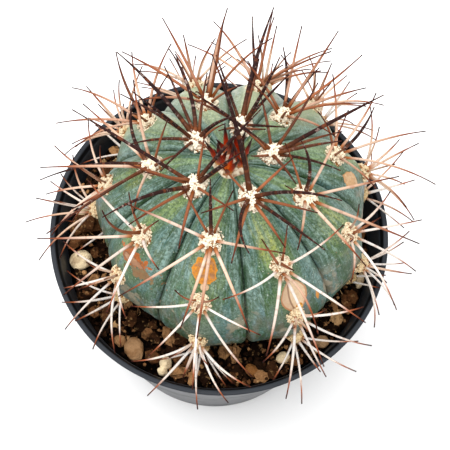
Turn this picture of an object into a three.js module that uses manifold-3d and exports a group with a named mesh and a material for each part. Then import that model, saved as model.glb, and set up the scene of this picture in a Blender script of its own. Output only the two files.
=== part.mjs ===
// Round ribbed cactus growing in a plastic nursery pot.
// Millimetres, +Z up. The origin is the middle of the pot's underside, and -Y is the front.
import * as THREE from 'three';
import { mergeVertices } from 'three/addons/utils/BufferGeometryUtils.js';
import Module from 'manifold-3d';

const wasm = await Module();
wasm.setup();

// Pot
const POT_HEIGHT = 86;
const RIM_RADIUS = 60;
const LIP_WIDTH = 1.8; // flat top of the lip
const LIP_DEPTH = 1.6;
const LIP_OVERHANG = 1.4; // how far the wall steps in under the lip
const LIP_CHAMFER = 0.3;
const COVE = { depth: 0.6, height: 0.8 }; // the slope from the wall out to the lip's underside
const WALL = 1.2;
const FOOT_RADIUS = 40;
const FOOT_CHAMFER = 0.8;
const NECK_RADIUS = RIM_RADIUS - LIP_OVERHANG - COVE.depth - WALL; // inside the wall, under the lip
const NECK_HEIGHT = POT_HEIGHT - LIP_DEPTH - 2 * COVE.height;
const DRAIN_HOLES = 6;
const DRAIN_RADIUS = 3.5;
const DRAIN_CIRCLE = 27;
const POT_SIDES = 48;

// Soil
const SOIL_LEVEL = 73.5;
const SOIL_ROUGHNESS = 1.1; // highest lump above the mean level
const SOIL_SIDES = 28;
const GAP = 0.3; // clearance between touching solids
const FACET_SAG = 0.12; // how far a flat facet may lie inside the round that it stands for
const SEAT_MARGIN = 0.05; // added to the gap round what is sunk in the soil

// Stem
const STEM_RADIUS = 48; // to the rib crests at the widest place
const STEM_HALF_HEIGHT = 42;
const STEM_CENTRE = new THREE.Vector3(4, 3, 95);
const LEAN_LEFT = 2.9; // degrees that the crown leans towards -X
const LEAN_BACK = 1.3; // degrees that the crown leans towards +Y
const GROOVE_DEPTH = 6.4; // on the upper half
const GROOVE_OPEN = 52; // degrees from the apex at which the grooves have their full depth
const FLAT_DEPTH = 2.8; // low down, where the flanks lie almost flat from crest to crest
const FLAT_FROM = 58; // degrees from the apex between which the grooves give way to flat flanks
const FLAT_UNTIL = 92;
const CREASE_DEPTH = 0.9; // of the fine line that is left of a groove there
const CROWN_DIP = 2.6; // depth of the dimple at the apex
const DIP_ANGLE = 9; // degrees from the apex over which the dimple fades
const RIB_AZIMUTHS = [260, 301, 341, 378, 413, 440, 472, 507, 541, 579]; // degrees from +X, each crest
const RIB_STEPS = [-0.86, -0.5, 0, 0.5, 0.86, 1]; // places across a rib, 1 being the groove
const STEM_ROWS = 16;
const ROOT_RADIUS = 10;
const ROOT_LENGTH = 24;

// Areoles: one whorl of five after another, on every other rib in turn
const WHORL_ANGLES = [17, 33, 48, 61.5, 76.5, 90.5, 101, 112]; // degrees from the apex
const WOOL_HALF_LENGTH = [4.6, 4.4, 4.1, 3.9, 3.7, 3.5, 3.3, 3.0];
const WOOL_SIDES = 7;
const WOOL_HEIGHT = 2.5;

// Spines. turn: degrees clockwise from up the rib; lean: degrees from the surface's normal.
const RADIALS = [
  { turn: -28, lean: 50, length: 22, width: 1.1 },
  { turn: 23, lean: 52, length: 22, width: 1.1 },
  { turn: -81, lean: 60, length: 28, width: 1.25 },
  { turn: 78, lean: 62, length: 28, width: 1.25 },
  { turn: -138, lean: 60, length: 33, width: 1.35 },
  { turn: 136, lean: 62, length: 33, width: 1.35 },
  { turn: 178, lean: 60, length: 34, width: 1.3 },
];
const RADIAL_GROWTH = [0.68, 0.96, 0.9, 0.76, 0.78, 0.74, 0.68, 0.52]; // in length, by whorl
const RADIAL_THINNING = [1, 0.96, 0.88, 0.82, 0.8, 0.78, 0.76, 0.72]; // in width, by whorl
const RADIAL_SPREAD = 0.6; // of the wool's half length, out from the areole's middle
const SIDE_PULL = 0.4; // share by which bases at the areole's sides lie closer in, where the rib falls away
const RADIAL_SEAT = 1.1; // height of a radial's base over the rib
const CENTRAL = { turn: 0, lean: 30, length: 24, width: 1.5 };
const CENTRAL_SEAT = { seat: 1.5, spread: 0.2 };
const STRONG_SEAT = { seat: 1.3, spread: 1.8 };
const JITTER = { turn: 9, lean: 6, length: 0.14, width: 0.1, bend: 13, sweep: 7.8 };
const DROOP = [10, 20, 26, 28, 28, 26, 22, 18]; // degrees that a radial bends down on its way, by whorl
// Centrals that stand out on the upper whorls: rib, whorl, then turn, lean, length, bend, sweep and width.
const STRONG_CENTRALS = [
  [9, 0, -5, 50, 38, 3, 8, 1.7],
  [9, 0, -114, 56, 45, 12, 0, 1.6],
  [9, 0, 176, 36, 44, 22, -13, 1.75],
  [9, 0, 28, 44, 28, 8, 0, 1.5],
  [1, 0, 118, 44, 36, 34, 24, 1.65],
  [1, 0, 161, 53, 34, 2, 2, 1.5],
  [1, 0, 10, 53, 49, 14, -12, 1.9],
  [1, 0, -117, 44, 33, 3, -59, 1.4],
  [3, 0, -173, 36, 42, 9, -3, 1.9],
  [3, 0, 30, 64, 35, 14, 0, 1.7],
  [3, 0, -138, 33, 29, 6, 4, 1.5],
  [5, 0, 177, 57, 39, 5, 12, 1.8],
  [5, 0, -119, 20, 29, -8, -5, 1.5],
  [7, 0, -163, 59, 37, 7, -15, 1.8],
  [7, 0, -125, 74, 33, 2, -34, 1.65],
  [7, 0, -38, 48, 22, 21, 18, 1.6],
  [7, 0, 140, 24, 30, 6, 4, 1.5],
  [0, 1, -6, 52, 24, 4, 0, 1.6],
  [0, 1, 164, 32, 45, 5, 1, 1.3],
  [2, 1, 36, 42, 25, 34, -32, 1.6],
  [4, 1, 147, 72, 26, 7, -21, 1.55],
  [4, 1, 165, 77, 25, 8, 9, 1.5],
  [4, 1, -159, 51, 32, -5, -11, 1.2],
  [4, 1, -106, 50, 31, 22, 7, 1.15],
  [6, 1, -154, 66, 33, -2, 10, 1.5],
  [6, 1, -81, 19, 30, -3, -3, 1.2],
  [8, 1, -125, 74, 23, 28, 50, 1.55],
  [8, 1, -168, 82, 40, 12, -25, 1.4],
  [8, 1, 118, 52, 46, 7, -5, 1.4],
  [9, 2, -5, 22, 28, 50, -18, 1.35],
  [1, 2, -2, 10, 15, 3, -1, 1.3],
  [1, 2, -157, 12, 38, 37, 14, 1.2],
  [3, 2, 149, 76, 27, 1, -26, 1.45],
  [5, 2, 155, 51, 28, 6, 8, 1.3],
  [5, 2, 175, 45, 29, 9, 1, 1.2],
  [5, 2, -59, 53, 34, 13, 3, 1.1],
  [5, 2, -55, 62, 26, 11, -18, 1.1],
  [7, 2, -154, 62, 32, 3, 22, 1.3],
];
const SPINE_STEPS = 12; // steps along a spine's line
const SPINE_TAPER = 0.9; // share of the width that is lost towards the tip
const TAPER_POWER = 2.8; // the higher, the nearer to the tip a spine grows thin
const CORNER_REACH = 1.1; // a three-sided spine's corners stand this far out, for the round spine's bulk
const RADIAL_CORNERS = [0, 6, 12]; // the steps that carry a ring of the solid spine
const CENTRAL_CORNERS = [0, 4, 8, 12];
const CLEARANCE = 0.35; // kept between a spine and what it passes
const STEM_CLEARANCE = 0.8; // kept between a spine and the rib crests
const WALL_CLEARANCE = 1; // kept between a spine and the inside of the pot's wall
const LIFTS = [0, 7, 14, 21, 28, 36, 44, 52, 60];
const SWINGS = [0, 5, -5, 10, -10];
const WORN_WHORL = 6; // from this whorl down the two upper radials have dropped off

// Crown: the young areoles round the apex
const CROWN_RADIUS = 6.2;
const CROWN_FANS = 5;
const CROWN_FAN_ANGLE = 4.2; // degrees from the apex
const CROWN_SPINES = 4;
const CROWN_WIDTH = 1.3;
const CROWN_SHORTEST = 8;
const CROWN_LONGEST = 15;
const CROWN_UPRIGHT = 8; // least lean of a new spine
const CROWN_SPLAYED = 22; // greatest lean of a new spine
const CROWN_TURN = 8; // degrees that a fan may stand beside its rib
const CROWN_CORNERS = 10;

// Loose stones on the soil: azimuth, distance from the pot's axis, length, width, height and turn.
const STONES = [
  [192, 50.0, 8.6, 7.8, 5.6, 20],
  [171, 50.5, 5.4, 4.8, 3.6, 80],
  [133, 49.5, 6.6, 4.6, 3.6, 90],
  [252, 50.0, 7.6, 5.0, 4.0, 0],
  [238, 50.0, 9.0, 7.2, 4.6, 40],
  [231, 50.6, 4.8, 4.2, 3.4, 70],
  [288, 49.0, 5.4, 4.2, 3.0, 30],
  [302, 48.5, 5.4, 4.6, 3.0, 95],
  [319, 51.8, 5.2, 4.8, 2.8, 50],
  [349, 52.6, 6.4, 3.2, 2.8, 90],
];
const STONE_SUNK = 0.3; // share of a stone's height that is below the soil
const STONE_WEAR = 0.12; // share by which a stone's corners are worn unevenly

const deg = THREE.MathUtils.degToRad;
const vector = (x, y, z) => new THREE.Vector3(x, y, z);

// A repeatable series of numbers from 0 to 1.
function dice(seed) {
  let state = seed;
  return () => {
    state = (state * 1664525 + 1013904223) % 4294967296;
    return state / 4294967296;
  };
}

// ---- Solids ----

function toSolid(geometry) {
  const bare = geometry.clone();
  bare.deleteAttribute('normal');
  bare.deleteAttribute('uv');
  const merged = mergeVertices(bare, 1e-4);
  const mesh = new wasm.Mesh({
    numProp: 3,
    vertProperties: new Float32Array(merged.attributes.position.array),
    triVerts: new Uint32Array(merged.index.array),
  });
  mesh.merge();
  return new wasm.Manifold(mesh);
}

function toGeometry(solid) {
  const mesh = solid.getMesh();
  const geometry = new THREE.BufferGeometry();
  geometry.setAttribute('position', new THREE.BufferAttribute(mesh.vertProperties, 3));
  geometry.setIndex(new THREE.BufferAttribute(mesh.triVerts, 1));
  return geometry;
}

// A closed skin over rings of points, listed from the first end to the last. An end ring of one
// point is a tip, and any other end is closed by a fan over its middle.
function skin(rings) {
  const points = [];
  const faces = [];
  const starts = rings.map((ring) => {
    const start = points.length;
    points.push(...ring);
    return start;
  });
  const add = (a, b, c) => faces.push(a, b, c);
  for (let i = 0; i + 1 < rings.length; i += 1) {
    const below = rings[i];
    const above = rings[i + 1];
    const sides = Math.max(below.length, above.length);
    for (let j = 0; j < sides; j += 1) {
      const a = starts[i] + (j % below.length);
      const b = starts[i] + ((j + 1) % below.length);
      const c = starts[i + 1] + (j % above.length);
      const d = starts[i + 1] + ((j + 1) % above.length);
      if (below.length > 1) add(a, b, d);
      if (above.length > 1) add(a, d, c);
      else if (below.length === 1) throw new Error('two tips in a row');
    }
  }
  const close = (ring, start, forwards) => {
    if (ring.length === 1) return;
    if (ring.length === 3) {
      if (forwards) add(start, start + 2, start + 1);
      else add(start, start + 1, start + 2);
      return;
    }
    const middle = ring.reduce((sum, p) => sum.add(p), vector(0, 0, 0)).divideScalar(ring.length);
    points.push(middle);
    const hub = points.length - 1;
    ring.forEach((_, j) => {
      const next = (j + 1) % ring.length;
      if (forwards) add(hub, start + next, start + j);
      else add(hub, start + j, start + next);
    });
  };
  close(rings[0], starts[0], true);
  close(rings[rings.length - 1], starts[rings.length - 1], false);
  const geometry = new THREE.BufferGeometry();
  geometry.setAttribute('position', new THREE.Float32BufferAttribute(points.flatMap((p) => p.toArray()), 3));
  geometry.setIndex(faces);
  return geometry;
}

// ---- Stem surface ----

const LEAN = new THREE.Matrix4()
  .makeRotationY(deg(-LEAN_LEFT))
  .multiply(new THREE.Matrix4().makeRotationX(deg(-LEAN_BACK)));

// 0 on the nearest rib's crest and 1 in the groove beside it.
function acrossRib(azimuth) {
  const first = RIB_AZIMUTHS[0];
  const turned = first + (((azimuth - first) % 360) + 360) % 360;
  for (let i = 0; i < RIB_AZIMUTHS.length; i += 1) {
    const here = RIB_AZIMUTHS[i];
    const next = i + 1 < RIB_AZIMUTHS.length ? RIB_AZIMUTHS[i + 1] : first + 360;
    if (turned <= next) {
      const part = (turned - here) / (next - here);
      return 1 - Math.abs(1 - 2 * part);
    }
  }
  return 0;
}

// How far the surface lies inside the crests. Grooves open below the crown between flat flanks and
// end in a narrow crease, and low down the stem's section is nearly a polygon.
function grooveDepth(polar, across) {
  const rise = Math.min(1, polar / GROOVE_OPEN);
  const upper = GROOVE_DEPTH * Math.sin((rise * Math.PI) / 2)
    * (0.3 * across ** 1.5 + 0.5 * across ** 2 + 0.2 * across ** 10);
  const lower = FLAT_DEPTH * (1 - (1 - across) ** 2) + CREASE_DEPTH * across ** 12;
  return THREE.MathUtils.lerp(upper, lower, THREE.MathUtils.smoothstep(polar, FLAT_FROM, FLAT_UNTIL));
}

// The point of the stem's surface at an angle from the apex and an azimuth, in degrees,
// lift millimetres outside it.
function stemPoint(polar, azimuth, lift = 0) {
  const across = acrossRib(azimuth);
  const shrink = 1 - grooveDepth(polar, across) / STEM_RADIUS;
  const dip = CROWN_DIP * Math.exp(-((polar / DIP_ANGLE) ** 2));
  const wide = (STEM_RADIUS * shrink + lift) * Math.sin(deg(polar));
  const high = (STEM_HALF_HEIGHT * (0.35 + 0.65 * shrink) + lift) * Math.cos(deg(polar)) - dip;
  return vector(wide * Math.cos(deg(azimuth)), wide * Math.sin(deg(azimuth)), high)
    .applyMatrix4(LEAN)
    .add(STEM_CENTRE);
}

// The frame of an areole: its place, the normal, the way up the rib and the way to the right.
function areoleFrame(polar, azimuth) {
  const s = Math.sin(deg(polar));
  const c = Math.cos(deg(polar));
  const x = Math.cos(deg(azimuth));
  const y = Math.sin(deg(azimuth));
  const turn = (v) => v.applyMatrix4(LEAN).normalize();
  const normal = turn(vector((s * x) / STEM_RADIUS, (s * y) / STEM_RADIUS, c / STEM_HALF_HEIGHT));
  const up = turn(vector(-STEM_RADIUS * c * x, -STEM_RADIUS * c * y, STEM_HALF_HEIGHT * s));
  return { place: stemPoint(polar, azimuth), normal, up, right: up.clone().cross(normal) };
}

function ribbedBody(lift) {
  const rings = [];
  for (let row = 0; row <= STEM_ROWS; row += 1) {
    const polar = (180 * row) / STEM_ROWS;
    if (row === 0 || row === STEM_ROWS) {
      rings.push([stemPoint(polar, RIB_AZIMUTHS[0], lift)]);
    } else {
      const ring = [];
      RIB_AZIMUTHS.forEach((here, i) => {
        const before = i > 0 ? RIB_AZIMUTHS[i - 1] : RIB_AZIMUTHS[RIB_AZIMUTHS.length - 1] - 360;
        const after = i + 1 < RIB_AZIMUTHS.length ? RIB_AZIMUTHS[i + 1] : RIB_AZIMUTHS[0] + 360;
        RIB_STEPS.forEach((step) => {
          const half = step < 0 ? (here - before) / 2 : (after - here) / 2;
          ring.push(stemPoint(polar, here + step * half, lift));
        });
      });
      rings.push(ring);
    }
  }
  return toSolid(skin(rings.reverse()));
}

// The ribbed body with the stump of its taproot.
function stemSolid(lift) {
  const root = new THREE.CylinderGeometry(ROOT_RADIUS + lift, ROOT_RADIUS / 2 + lift, ROOT_LENGTH + lift, 12);
  root.rotateX(Math.PI / 2);
  root.translate(STEM_CENTRE.x, STEM_CENTRE.y, STEM_CENTRE.z - STEM_HALF_HEIGHT + 3 - ROOT_LENGTH / 2);
  return ribbedBody(lift).add(toSolid(root));
}

// ---- Spines ----

function spineHeading(frame, turn, lean) {
  const flat = frame.up.clone().multiplyScalar(Math.cos(deg(turn)));
  flat.addScaledVector(frame.right, Math.sin(deg(turn)));
  return frame.normal.clone().multiplyScalar(Math.cos(deg(lean))).addScaledVector(flat, Math.sin(deg(lean)));
}

// The line of a spine: a walk of equal steps whose lean and turn change evenly along it, raised
// by lift degrees towards the open air over the rim.
function spineLine(frame, spine, lift, swing) {
  const outward = vector(frame.place.x, frame.place.y, 0).normalize();
  const open = outward.multiplyScalar(0.8).add(vector(0, 0, 0.6)).normalize();
  const place = frame.place.clone().addScaledVector(frame.normal, spine.seat);
  const reach = spine.spread * (1 - SIDE_PULL * Math.sin(deg(spine.turn)) ** 2);
  place.addScaledVector(spineHeading(frame, spine.turn, 90), reach);
  const line = [place];
  for (let i = 0; i < SPINE_STEPS; i += 1) {
    const part = (i + 0.5) / SPINE_STEPS;
    const turn = spine.turn + swing + spine.sweep * part;
    const way = spineHeading(frame, turn, spine.lean + spine.bend * (part - 0.5));
    const away = way.angleTo(open);
    const share = away > 0.01 ? Math.min(1, deg(lift) / away) : 0;
    way.multiplyScalar(Math.sin((1 - share) * away)).addScaledVector(open, Math.sin(share * away));
    line.push(line[i].clone().addScaledVector(way.normalize(), spine.length / SPINE_STEPS));
  }
  return line;
}

const spineRadius = (spine, part) => (spine.width / 2) * (1 - SPINE_TAPER * part ** TAPER_POWER);

function spineSolid(spine) {
  const rings = spine.corners.map((step) => {
    const here = spine.line[step];
    if (step === SPINE_STEPS) return [here];
    const along = spine.line[step + 1].clone().sub(spine.line[Math.max(0, step - 1)]).normalize();
    const side = along.clone().cross(spine.frame.normal);
    if (side.length() < 0.2) side.copy(along).cross(spine.frame.up);
    side.normalize();
    const over = side.clone().cross(along);
    const radius = spineRadius(spine, step / SPINE_STEPS) * CORNER_REACH;
    return [90, 330, 210].map((a) => here.clone()
      .addScaledVector(side, radius * Math.cos(deg(a)))
      .addScaledVector(over, radius * Math.sin(deg(a))));
  });
  return toSolid(skin(rings));
}

// ---- What a spine must stay clear of ----

// The inside of the pot's wall at a height, taken as one plain cone down from the lip.
function wallRadius(z) {
  const slope = (RIM_RADIUS - FOOT_RADIUS) / POT_HEIGHT;
  return RIM_RADIUS - LIP_WIDTH - slope * (POT_HEIGHT - z);
}

function hitsPot(point, radius) {
  const out = Math.hypot(point.x, point.y);
  const low = point.z < POT_HEIGHT + radius + CLEARANCE;
  return low && out > wallRadius(point.z) - radius - WALL_CLEARANCE && out < RIM_RADIUS + radius + CLEARANCE;
}

function hitsSoil(point, radius) {
  const inside = Math.hypot(point.x, point.y) < RIM_RADIUS;
  return inside && point.z < SOIL_LEVEL + SOIL_ROUGHNESS + radius + CLEARANCE;
}

// How far the point lies outside the round of the rib crests.
function aboveStem(point) {
  const local = point.clone().sub(STEM_CENTRE);
  const share = Math.hypot(local.x / STEM_RADIUS, local.y / STEM_RADIUS, local.z / STEM_HALF_HEIGHT);
  return local.length() * (1 - 1 / share);
}

// The least distance between two straight pieces.
function pieceDistance(a0, a1, b0, b1) {
  const u = a1.clone().sub(a0);
  const v = b1.clone().sub(b0);
  const w = a0.clone().sub(b0);
  const uu = u.dot(u);
  const uv = u.dot(v);
  const vv = v.dot(v);
  const uw = u.dot(w);
  const vw = v.dot(w);
  const clamp = (x) => Math.min(1, Math.max(0, x));
  const flat = uu * vv - uv * uv;
  const s = flat > 1e-9 ? clamp((uv * vw - vv * uw) / flat) : 0;
  const t = clamp((uv * s + vw) / vv);
  const again = clamp((uv * t - uw) / uu);
  return w.clone().addScaledVector(u, again).addScaledVector(v, -t).length();
}

function meetsSpine(line, spine, other) {
  if (spine.areole === other.areole) return false;
  const reach = spine.length + other.length + 4;
  if (line[0].distanceTo(other.line[0]) > reach) return false;
  for (let i = 0; i < SPINE_STEPS; i += 2) {
    for (let j = 0; j < SPINE_STEPS; j += 2) {
      const room = spineRadius(spine, i / SPINE_STEPS) + spineRadius(other, j / SPINE_STEPS) + CLEARANCE;
      if (pieceDistance(line[i], line[i + 2], other.line[j], other.line[j + 2]) < room) return true;
    }
  }
  return false;
}

function isClear(line, spine, areoles, stones, settled) {
  for (let i = 2; i <= SPINE_STEPS; i += 1) {
    const radius = spineRadius(spine, i / SPINE_STEPS);
    if (hitsPot(line[i], radius) || hitsSoil(line[i], radius)) return false;
    if (i > 4 && aboveStem(line[i]) < radius + STEM_CLEARANCE) return false;
    if (stones.some((stone) => line[i].distanceTo(stone.middle) < stone.reach + radius)) return false;
    const others = areoles.filter((areole) => areole !== spine.areole);
    if (others.some((areole) => line[i].distanceTo(areole.frame.place) < areole.reach + radius)) return false;
  }
  return !settled.some((other) => meetsSpine(line, spine, other));
}

// ---- Areoles ----

function listAreoles() {
  const areoles = [];
  WHORL_ANGLES.forEach((polar, whorl) => {
    RIB_AZIMUTHS.forEach((azimuth, rib) => {
      if (rib % 2 === whorl % 2) return;
      const frame = areoleFrame(polar, azimuth);
      areoles.push({ rib, whorl, polar, azimuth, frame, reach: WOOL_HALF_LENGTH[whorl] + 0.5 });
    });
  });
  return areoles;
}

function spinesOf(areole) {
  const roll = dice(1000 * areole.rib + 37 * areole.whorl + 11);
  const spread = () => 2 * roll() - 1;
  const vary = (base, growth, thin, droop) => ({
    areole,
    frame: areole.frame,
    turn: base.turn + JITTER.turn * spread(),
    lean: base.lean + JITTER.lean * spread(),
    length: base.length * growth * (1 + JITTER.length * spread()),
    width: base.width * thin * (1 + JITTER.width * spread()),
    bend: droop + JITTER.bend * spread(),
    sweep: JITTER.sweep * spread(),
    corners: RADIAL_CORNERS,
    seat: RADIAL_SEAT,
    spread: RADIAL_SPREAD * WOOL_HALF_LENGTH[areole.whorl],
  });
  const growth = RADIAL_GROWTH[areole.whorl];
  const thin = RADIAL_THINNING[areole.whorl];
  const droop = DROOP[areole.whorl];
  const kept = RADIALS.slice(areole.whorl < WORN_WHORL ? 0 : 2);
  const radials = kept.map((base) => vary(base, growth, thin, droop));
  const central = {
    ...vary(CENTRAL, Math.min(1, growth + 0.05), thin, 0), ...CENTRAL_SEAT, corners: CENTRAL_CORNERS,
  };
  const strong = STRONG_CENTRALS.filter(([rib, whorl]) => rib === areole.rib && whorl === areole.whorl)
    .map(([, , turn, lean, length, bend, sweep, width]) => ({
      ...vary(CENTRAL, 1, 1, 0), turn, lean, length, bend, sweep, width, ...STRONG_SEAT,
      corners: width > 1.25 ? CENTRAL_CORNERS : RADIAL_CORNERS, strong: true,
    }));
  return [...(strong.length ? strong : [central]), ...radials];
}

// Every spine in turn, the strong ones first, is swung or raised until it is clear of all that is
// settled.
function settleSpines(areoles, stones) {
  const settled = [];
  const spines = areoles.flatMap(spinesOf);
  const strong = spines.filter((spine) => spine.strong);
  const plain = spines.filter((spine) => !spine.strong);
  [...strong, ...plain].forEach((spine) => {
    for (const lift of LIFTS) {
      for (const swing of SWINGS) {
        const line = spineLine(spine.frame, spine, lift, swing);
        if (isClear(line, spine, areoles, stones, settled)) {
          settled.push({ ...spine, line });
          return;
        }
      }
    }
  });
  return settled;
}

// A low woolly cushion that follows the rib's crest, GAP above it.
function woolCushion(areole) {
  const roll = dice(500 + 100 * areole.rib + areole.whorl);
  const long = WOOL_HALF_LENGTH[areole.whorl];
  const edges = Array.from({ length: WOOL_SIDES }, () => long * (0.86 + 0.2 * roll()));
  const ring = (share, height) => edges.map((edge, j) => {
    const a = (2 * Math.PI * j) / WOOL_SIDES;
    const up = share * edge * Math.cos(a);
    const side = share * edge * 0.86 * Math.sin(a);
    const polar = areole.polar - THREE.MathUtils.radToDeg((2 * up) / (STEM_RADIUS + STEM_HALF_HEIGHT));
    const around = STEM_RADIUS * Math.sin(deg(areole.polar));
    const azimuth = areole.azimuth - THREE.MathUtils.radToDeg(side / around);
    return stemPoint(polar, azimuth).addScaledVector(areole.frame.normal, height);
  });
  const middle = (height) => [areole.frame.place.clone().addScaledVector(areole.frame.normal, height)];
  const seat = GAP + FACET_SAG;
  return toSolid(skin([
    middle(seat), ring(0.5, seat), ring(0.92, seat), ring(1, seat + 0.7), ring(0.72, WOOL_HEIGHT * 0.85),
    middle(WOOL_HEIGHT),
  ]));
}

function areoleSolid(areole, spines) {
  return spines.filter((spine) => spine.areole === areole)
    .reduce((solid, spine) => solid.add(spineSolid(spine)), woolCushion(areole));
}

// ---- Crown ----

// The wool in the dimple of the apex, with small erect fans of new spines.
function crownSolid() {
  const frame = areoleFrame(0.01, 0);
  const roll = dice(79);
  const cap = (share, height) => Array.from({ length: CROWN_CORNERS }, (_, j) => {
    const azimuth = (360 / CROWN_CORNERS) * j + RIB_AZIMUTHS[0];
    const polar = THREE.MathUtils.radToDeg((CROWN_RADIUS * share * (j % 2 ? 0.86 : 1)) / STEM_RADIUS);
    return stemPoint(polar, azimuth).addScaledVector(frame.normal, height);
  });
  const middle = (height) => [stemPoint(0, 0).addScaledVector(frame.normal, height)];
  const seat = GAP + 0.2;
  let solid = toSolid(skin([
    middle(seat), cap(0.5, seat), cap(0.95, seat), cap(1, seat + 0.6), cap(0.6, 2.4), middle(3.2),
  ]));
  for (let fan = 0; fan < CROWN_FANS; fan += 1) {
    const azimuth = RIB_AZIMUTHS[(2 * fan) % RIB_AZIMUTHS.length] + CROWN_TURN * roll();
    const base = areoleFrame(CROWN_FAN_ANGLE, azimuth);
    for (let k = 0; k < CROWN_SPINES; k += 1) {
      const spine = {
        frame: base,
        turn: 360 * ((k + 0.3 * roll()) / CROWN_SPINES),
        lean: CROWN_UPRIGHT + (CROWN_SPLAYED - CROWN_UPRIGHT) * roll(),
        length: CROWN_SHORTEST + (CROWN_LONGEST - CROWN_SHORTEST) * roll(),
        width: CROWN_WIDTH,
        corners: RADIAL_CORNERS,
        bend: 6,
        sweep: 0,
        seat: 0.8,
        spread: 0.5,
      };
      solid = solid.add(spineSolid({ ...spine, line: spineLine(base, spine, 0, 0) }));
    }
  }
  return solid;
}

// ---- Pot, soil and stones ----

function potSolid() {
  const under = RIM_RADIUS - LIP_OVERHANG;
  const lipFoot = POT_HEIGHT - LIP_DEPTH;
  const profile = [
    [0, 0], [FOOT_RADIUS - FOOT_CHAMFER, 0], [FOOT_RADIUS, FOOT_CHAMFER],
    [under - COVE.depth, lipFoot - COVE.height], [under, lipFoot],
    [RIM_RADIUS - LIP_CHAMFER, lipFoot + LIP_CHAMFER],
    [RIM_RADIUS, POT_HEIGHT - LIP_CHAMFER], [RIM_RADIUS - LIP_CHAMFER, POT_HEIGHT],
    [RIM_RADIUS - LIP_WIDTH + LIP_CHAMFER, POT_HEIGHT], [RIM_RADIUS - LIP_WIDTH, POT_HEIGHT - LIP_CHAMFER],
    [NECK_RADIUS, NECK_HEIGHT], [FOOT_RADIUS - WALL, WALL], [0, WALL],
  ];
  const lathe = new THREE.LatheGeometry(profile.map(([r, z]) => new THREE.Vector2(r, z)), POT_SIDES);
  lathe.rotateX(Math.PI / 2);
  let pot = toSolid(lathe);
  for (let i = 0; i < DRAIN_HOLES; i += 1) {
    const a = (2 * Math.PI * (i + 0.5)) / DRAIN_HOLES;
    const drill = new THREE.CylinderGeometry(DRAIN_RADIUS, DRAIN_RADIUS, 3 * WALL, 12);
    drill.rotateX(Math.PI / 2);
    drill.translate(DRAIN_CIRCLE * Math.cos(a), DRAIN_CIRCLE * Math.sin(a), WALL / 2);
    pot = pot.subtract(toSolid(drill));
  }
  return pot;
}

function soilHeight(x, y) {
  const lumps = Math.sin(0.41 * x + 1.3) * Math.sin(0.37 * y + 0.4) + Math.sin(0.23 * x - 0.31 * y);
  return SOIL_LEVEL + 0.5 * SOIL_ROUGHNESS * lumps;
}

// The soil fills the pot, with a hole for the stem and a seat for each stone.
function soilSolid(stones) {
  const slope = (NECK_RADIUS - FOOT_RADIUS + WALL) / (NECK_HEIGHT - WALL);
  const innerRadius = (z) => FOOT_RADIUS - WALL + slope * (z - WALL) - GAP - FACET_SAG;
  const ring = (radius, height) => Array.from({ length: SOIL_SIDES }, (_, j) => {
    const a = (2 * Math.PI * j) / SOIL_SIDES;
    const x = radius * Math.cos(a);
    const y = radius * Math.sin(a);
    return vector(x, y, height ?? soilHeight(x, y));
  });
  const edge = innerRadius(SOIL_LEVEL - 2);
  const body = toSolid(skin([
    ring(innerRadius(WALL) - 0.2, WALL + GAP), ring(edge, SOIL_LEVEL - 2), ring(edge - 0.8), ring(edge - 5),
    ring(edge - 12), [vector(0, 0, SOIL_LEVEL)],
  ]));
  return stones.reduce(
    (soil, stone) => soil.subtract(toSolid(stoneGeometry(stone, GAP + SEAT_MARGIN))),
    body.subtract(stemSolid(GAP + SEAT_MARGIN)),
  );
}

// The stones lie partly sunk in the soil.
function listStones() {
  return STONES.map(([azimuth, distance, long, wide, high, turn]) => {
    const x = distance * Math.cos(deg(azimuth));
    const y = distance * Math.sin(deg(azimuth));
    const middle = vector(x, y, soilHeight(x, y) + (0.5 - STONE_SUNK) * high);
    return { middle, long, wide, high, turn, azimuth, reach: long / 2 + 0.3 };
  });
}

function stoneGeometry(stone, grow = 0) {
  const roll = dice(900 + stone.azimuth);
  const ball = new THREE.IcosahedronGeometry(0.5, 1);
  ball.deleteAttribute('normal');
  ball.deleteAttribute('uv');
  const geometry = mergeVertices(ball, 1e-4);
  const place = geometry.attributes.position;
  for (let i = 0; i < place.count; i += 1) {
    const worn = 1 - STONE_WEAR * (1 - roll());
    place.setXYZ(i, place.getX(i) * worn, place.getY(i) * worn, place.getZ(i) * worn);
  }
  geometry.scale(stone.long + 2.4 * grow, stone.wide + 2.4 * grow, stone.high + 2.4 * grow);
  geometry.rotateZ(deg(stone.azimuth + stone.turn));
  geometry.translate(stone.middle.x, stone.middle.y, stone.middle.z);
  return geometry;
}

// ---- Materials and assembly ----

const paint = (color, roughness) => new THREE.MeshStandardMaterial({ color, roughness, metalness: 0 });
const MATERIALS = {
  pot: paint(0x2b2c2e, 0.5),
  soil: paint(0x3b2618, 0.95),
  stem: paint(0x6c9580, 0.6),
  areole: paint(0xe6cdb2, 0.85),
  crown: paint(0xb4552a, 0.8),
  stone: paint(0xd8c3a0, 0.9),
};

const cactus = new THREE.Group();
const addPart = (name, geometry, material) => {
  const mesh = new THREE.Mesh(geometry, material);
  mesh.name = name;
  cactus.add(mesh);
};

const areoles = listAreoles();
const stones = listStones();
const spines = settleSpines(areoles, stones);

addPart('pot', toGeometry(potSolid()), MATERIALS.pot);
addPart('soil', toGeometry(soilSolid(stones)), MATERIALS.soil);
addPart('stem', toGeometry(stemSolid(0)), MATERIALS.stem);
addPart('crown', toGeometry(crownSolid()), MATERIALS.crown);
areoles.forEach((areole) => {
  const name = `areole_w${areole.whorl + 1}_r${areole.rib + 1}`;
  addPart(name, toGeometry(areoleSolid(areole, spines)), MATERIALS.areole);
});
stones.forEach((stone, i) => addPart(`stone_${i + 1}`, stoneGeometry(stone), MATERIALS.stone));

export default cactus;
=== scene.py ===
"""Potted round cactus: smooth ribbed stem, woolly areoles with tapered spines, bark soil and a plastic pot."""
import functools
import itertools
import math

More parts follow.
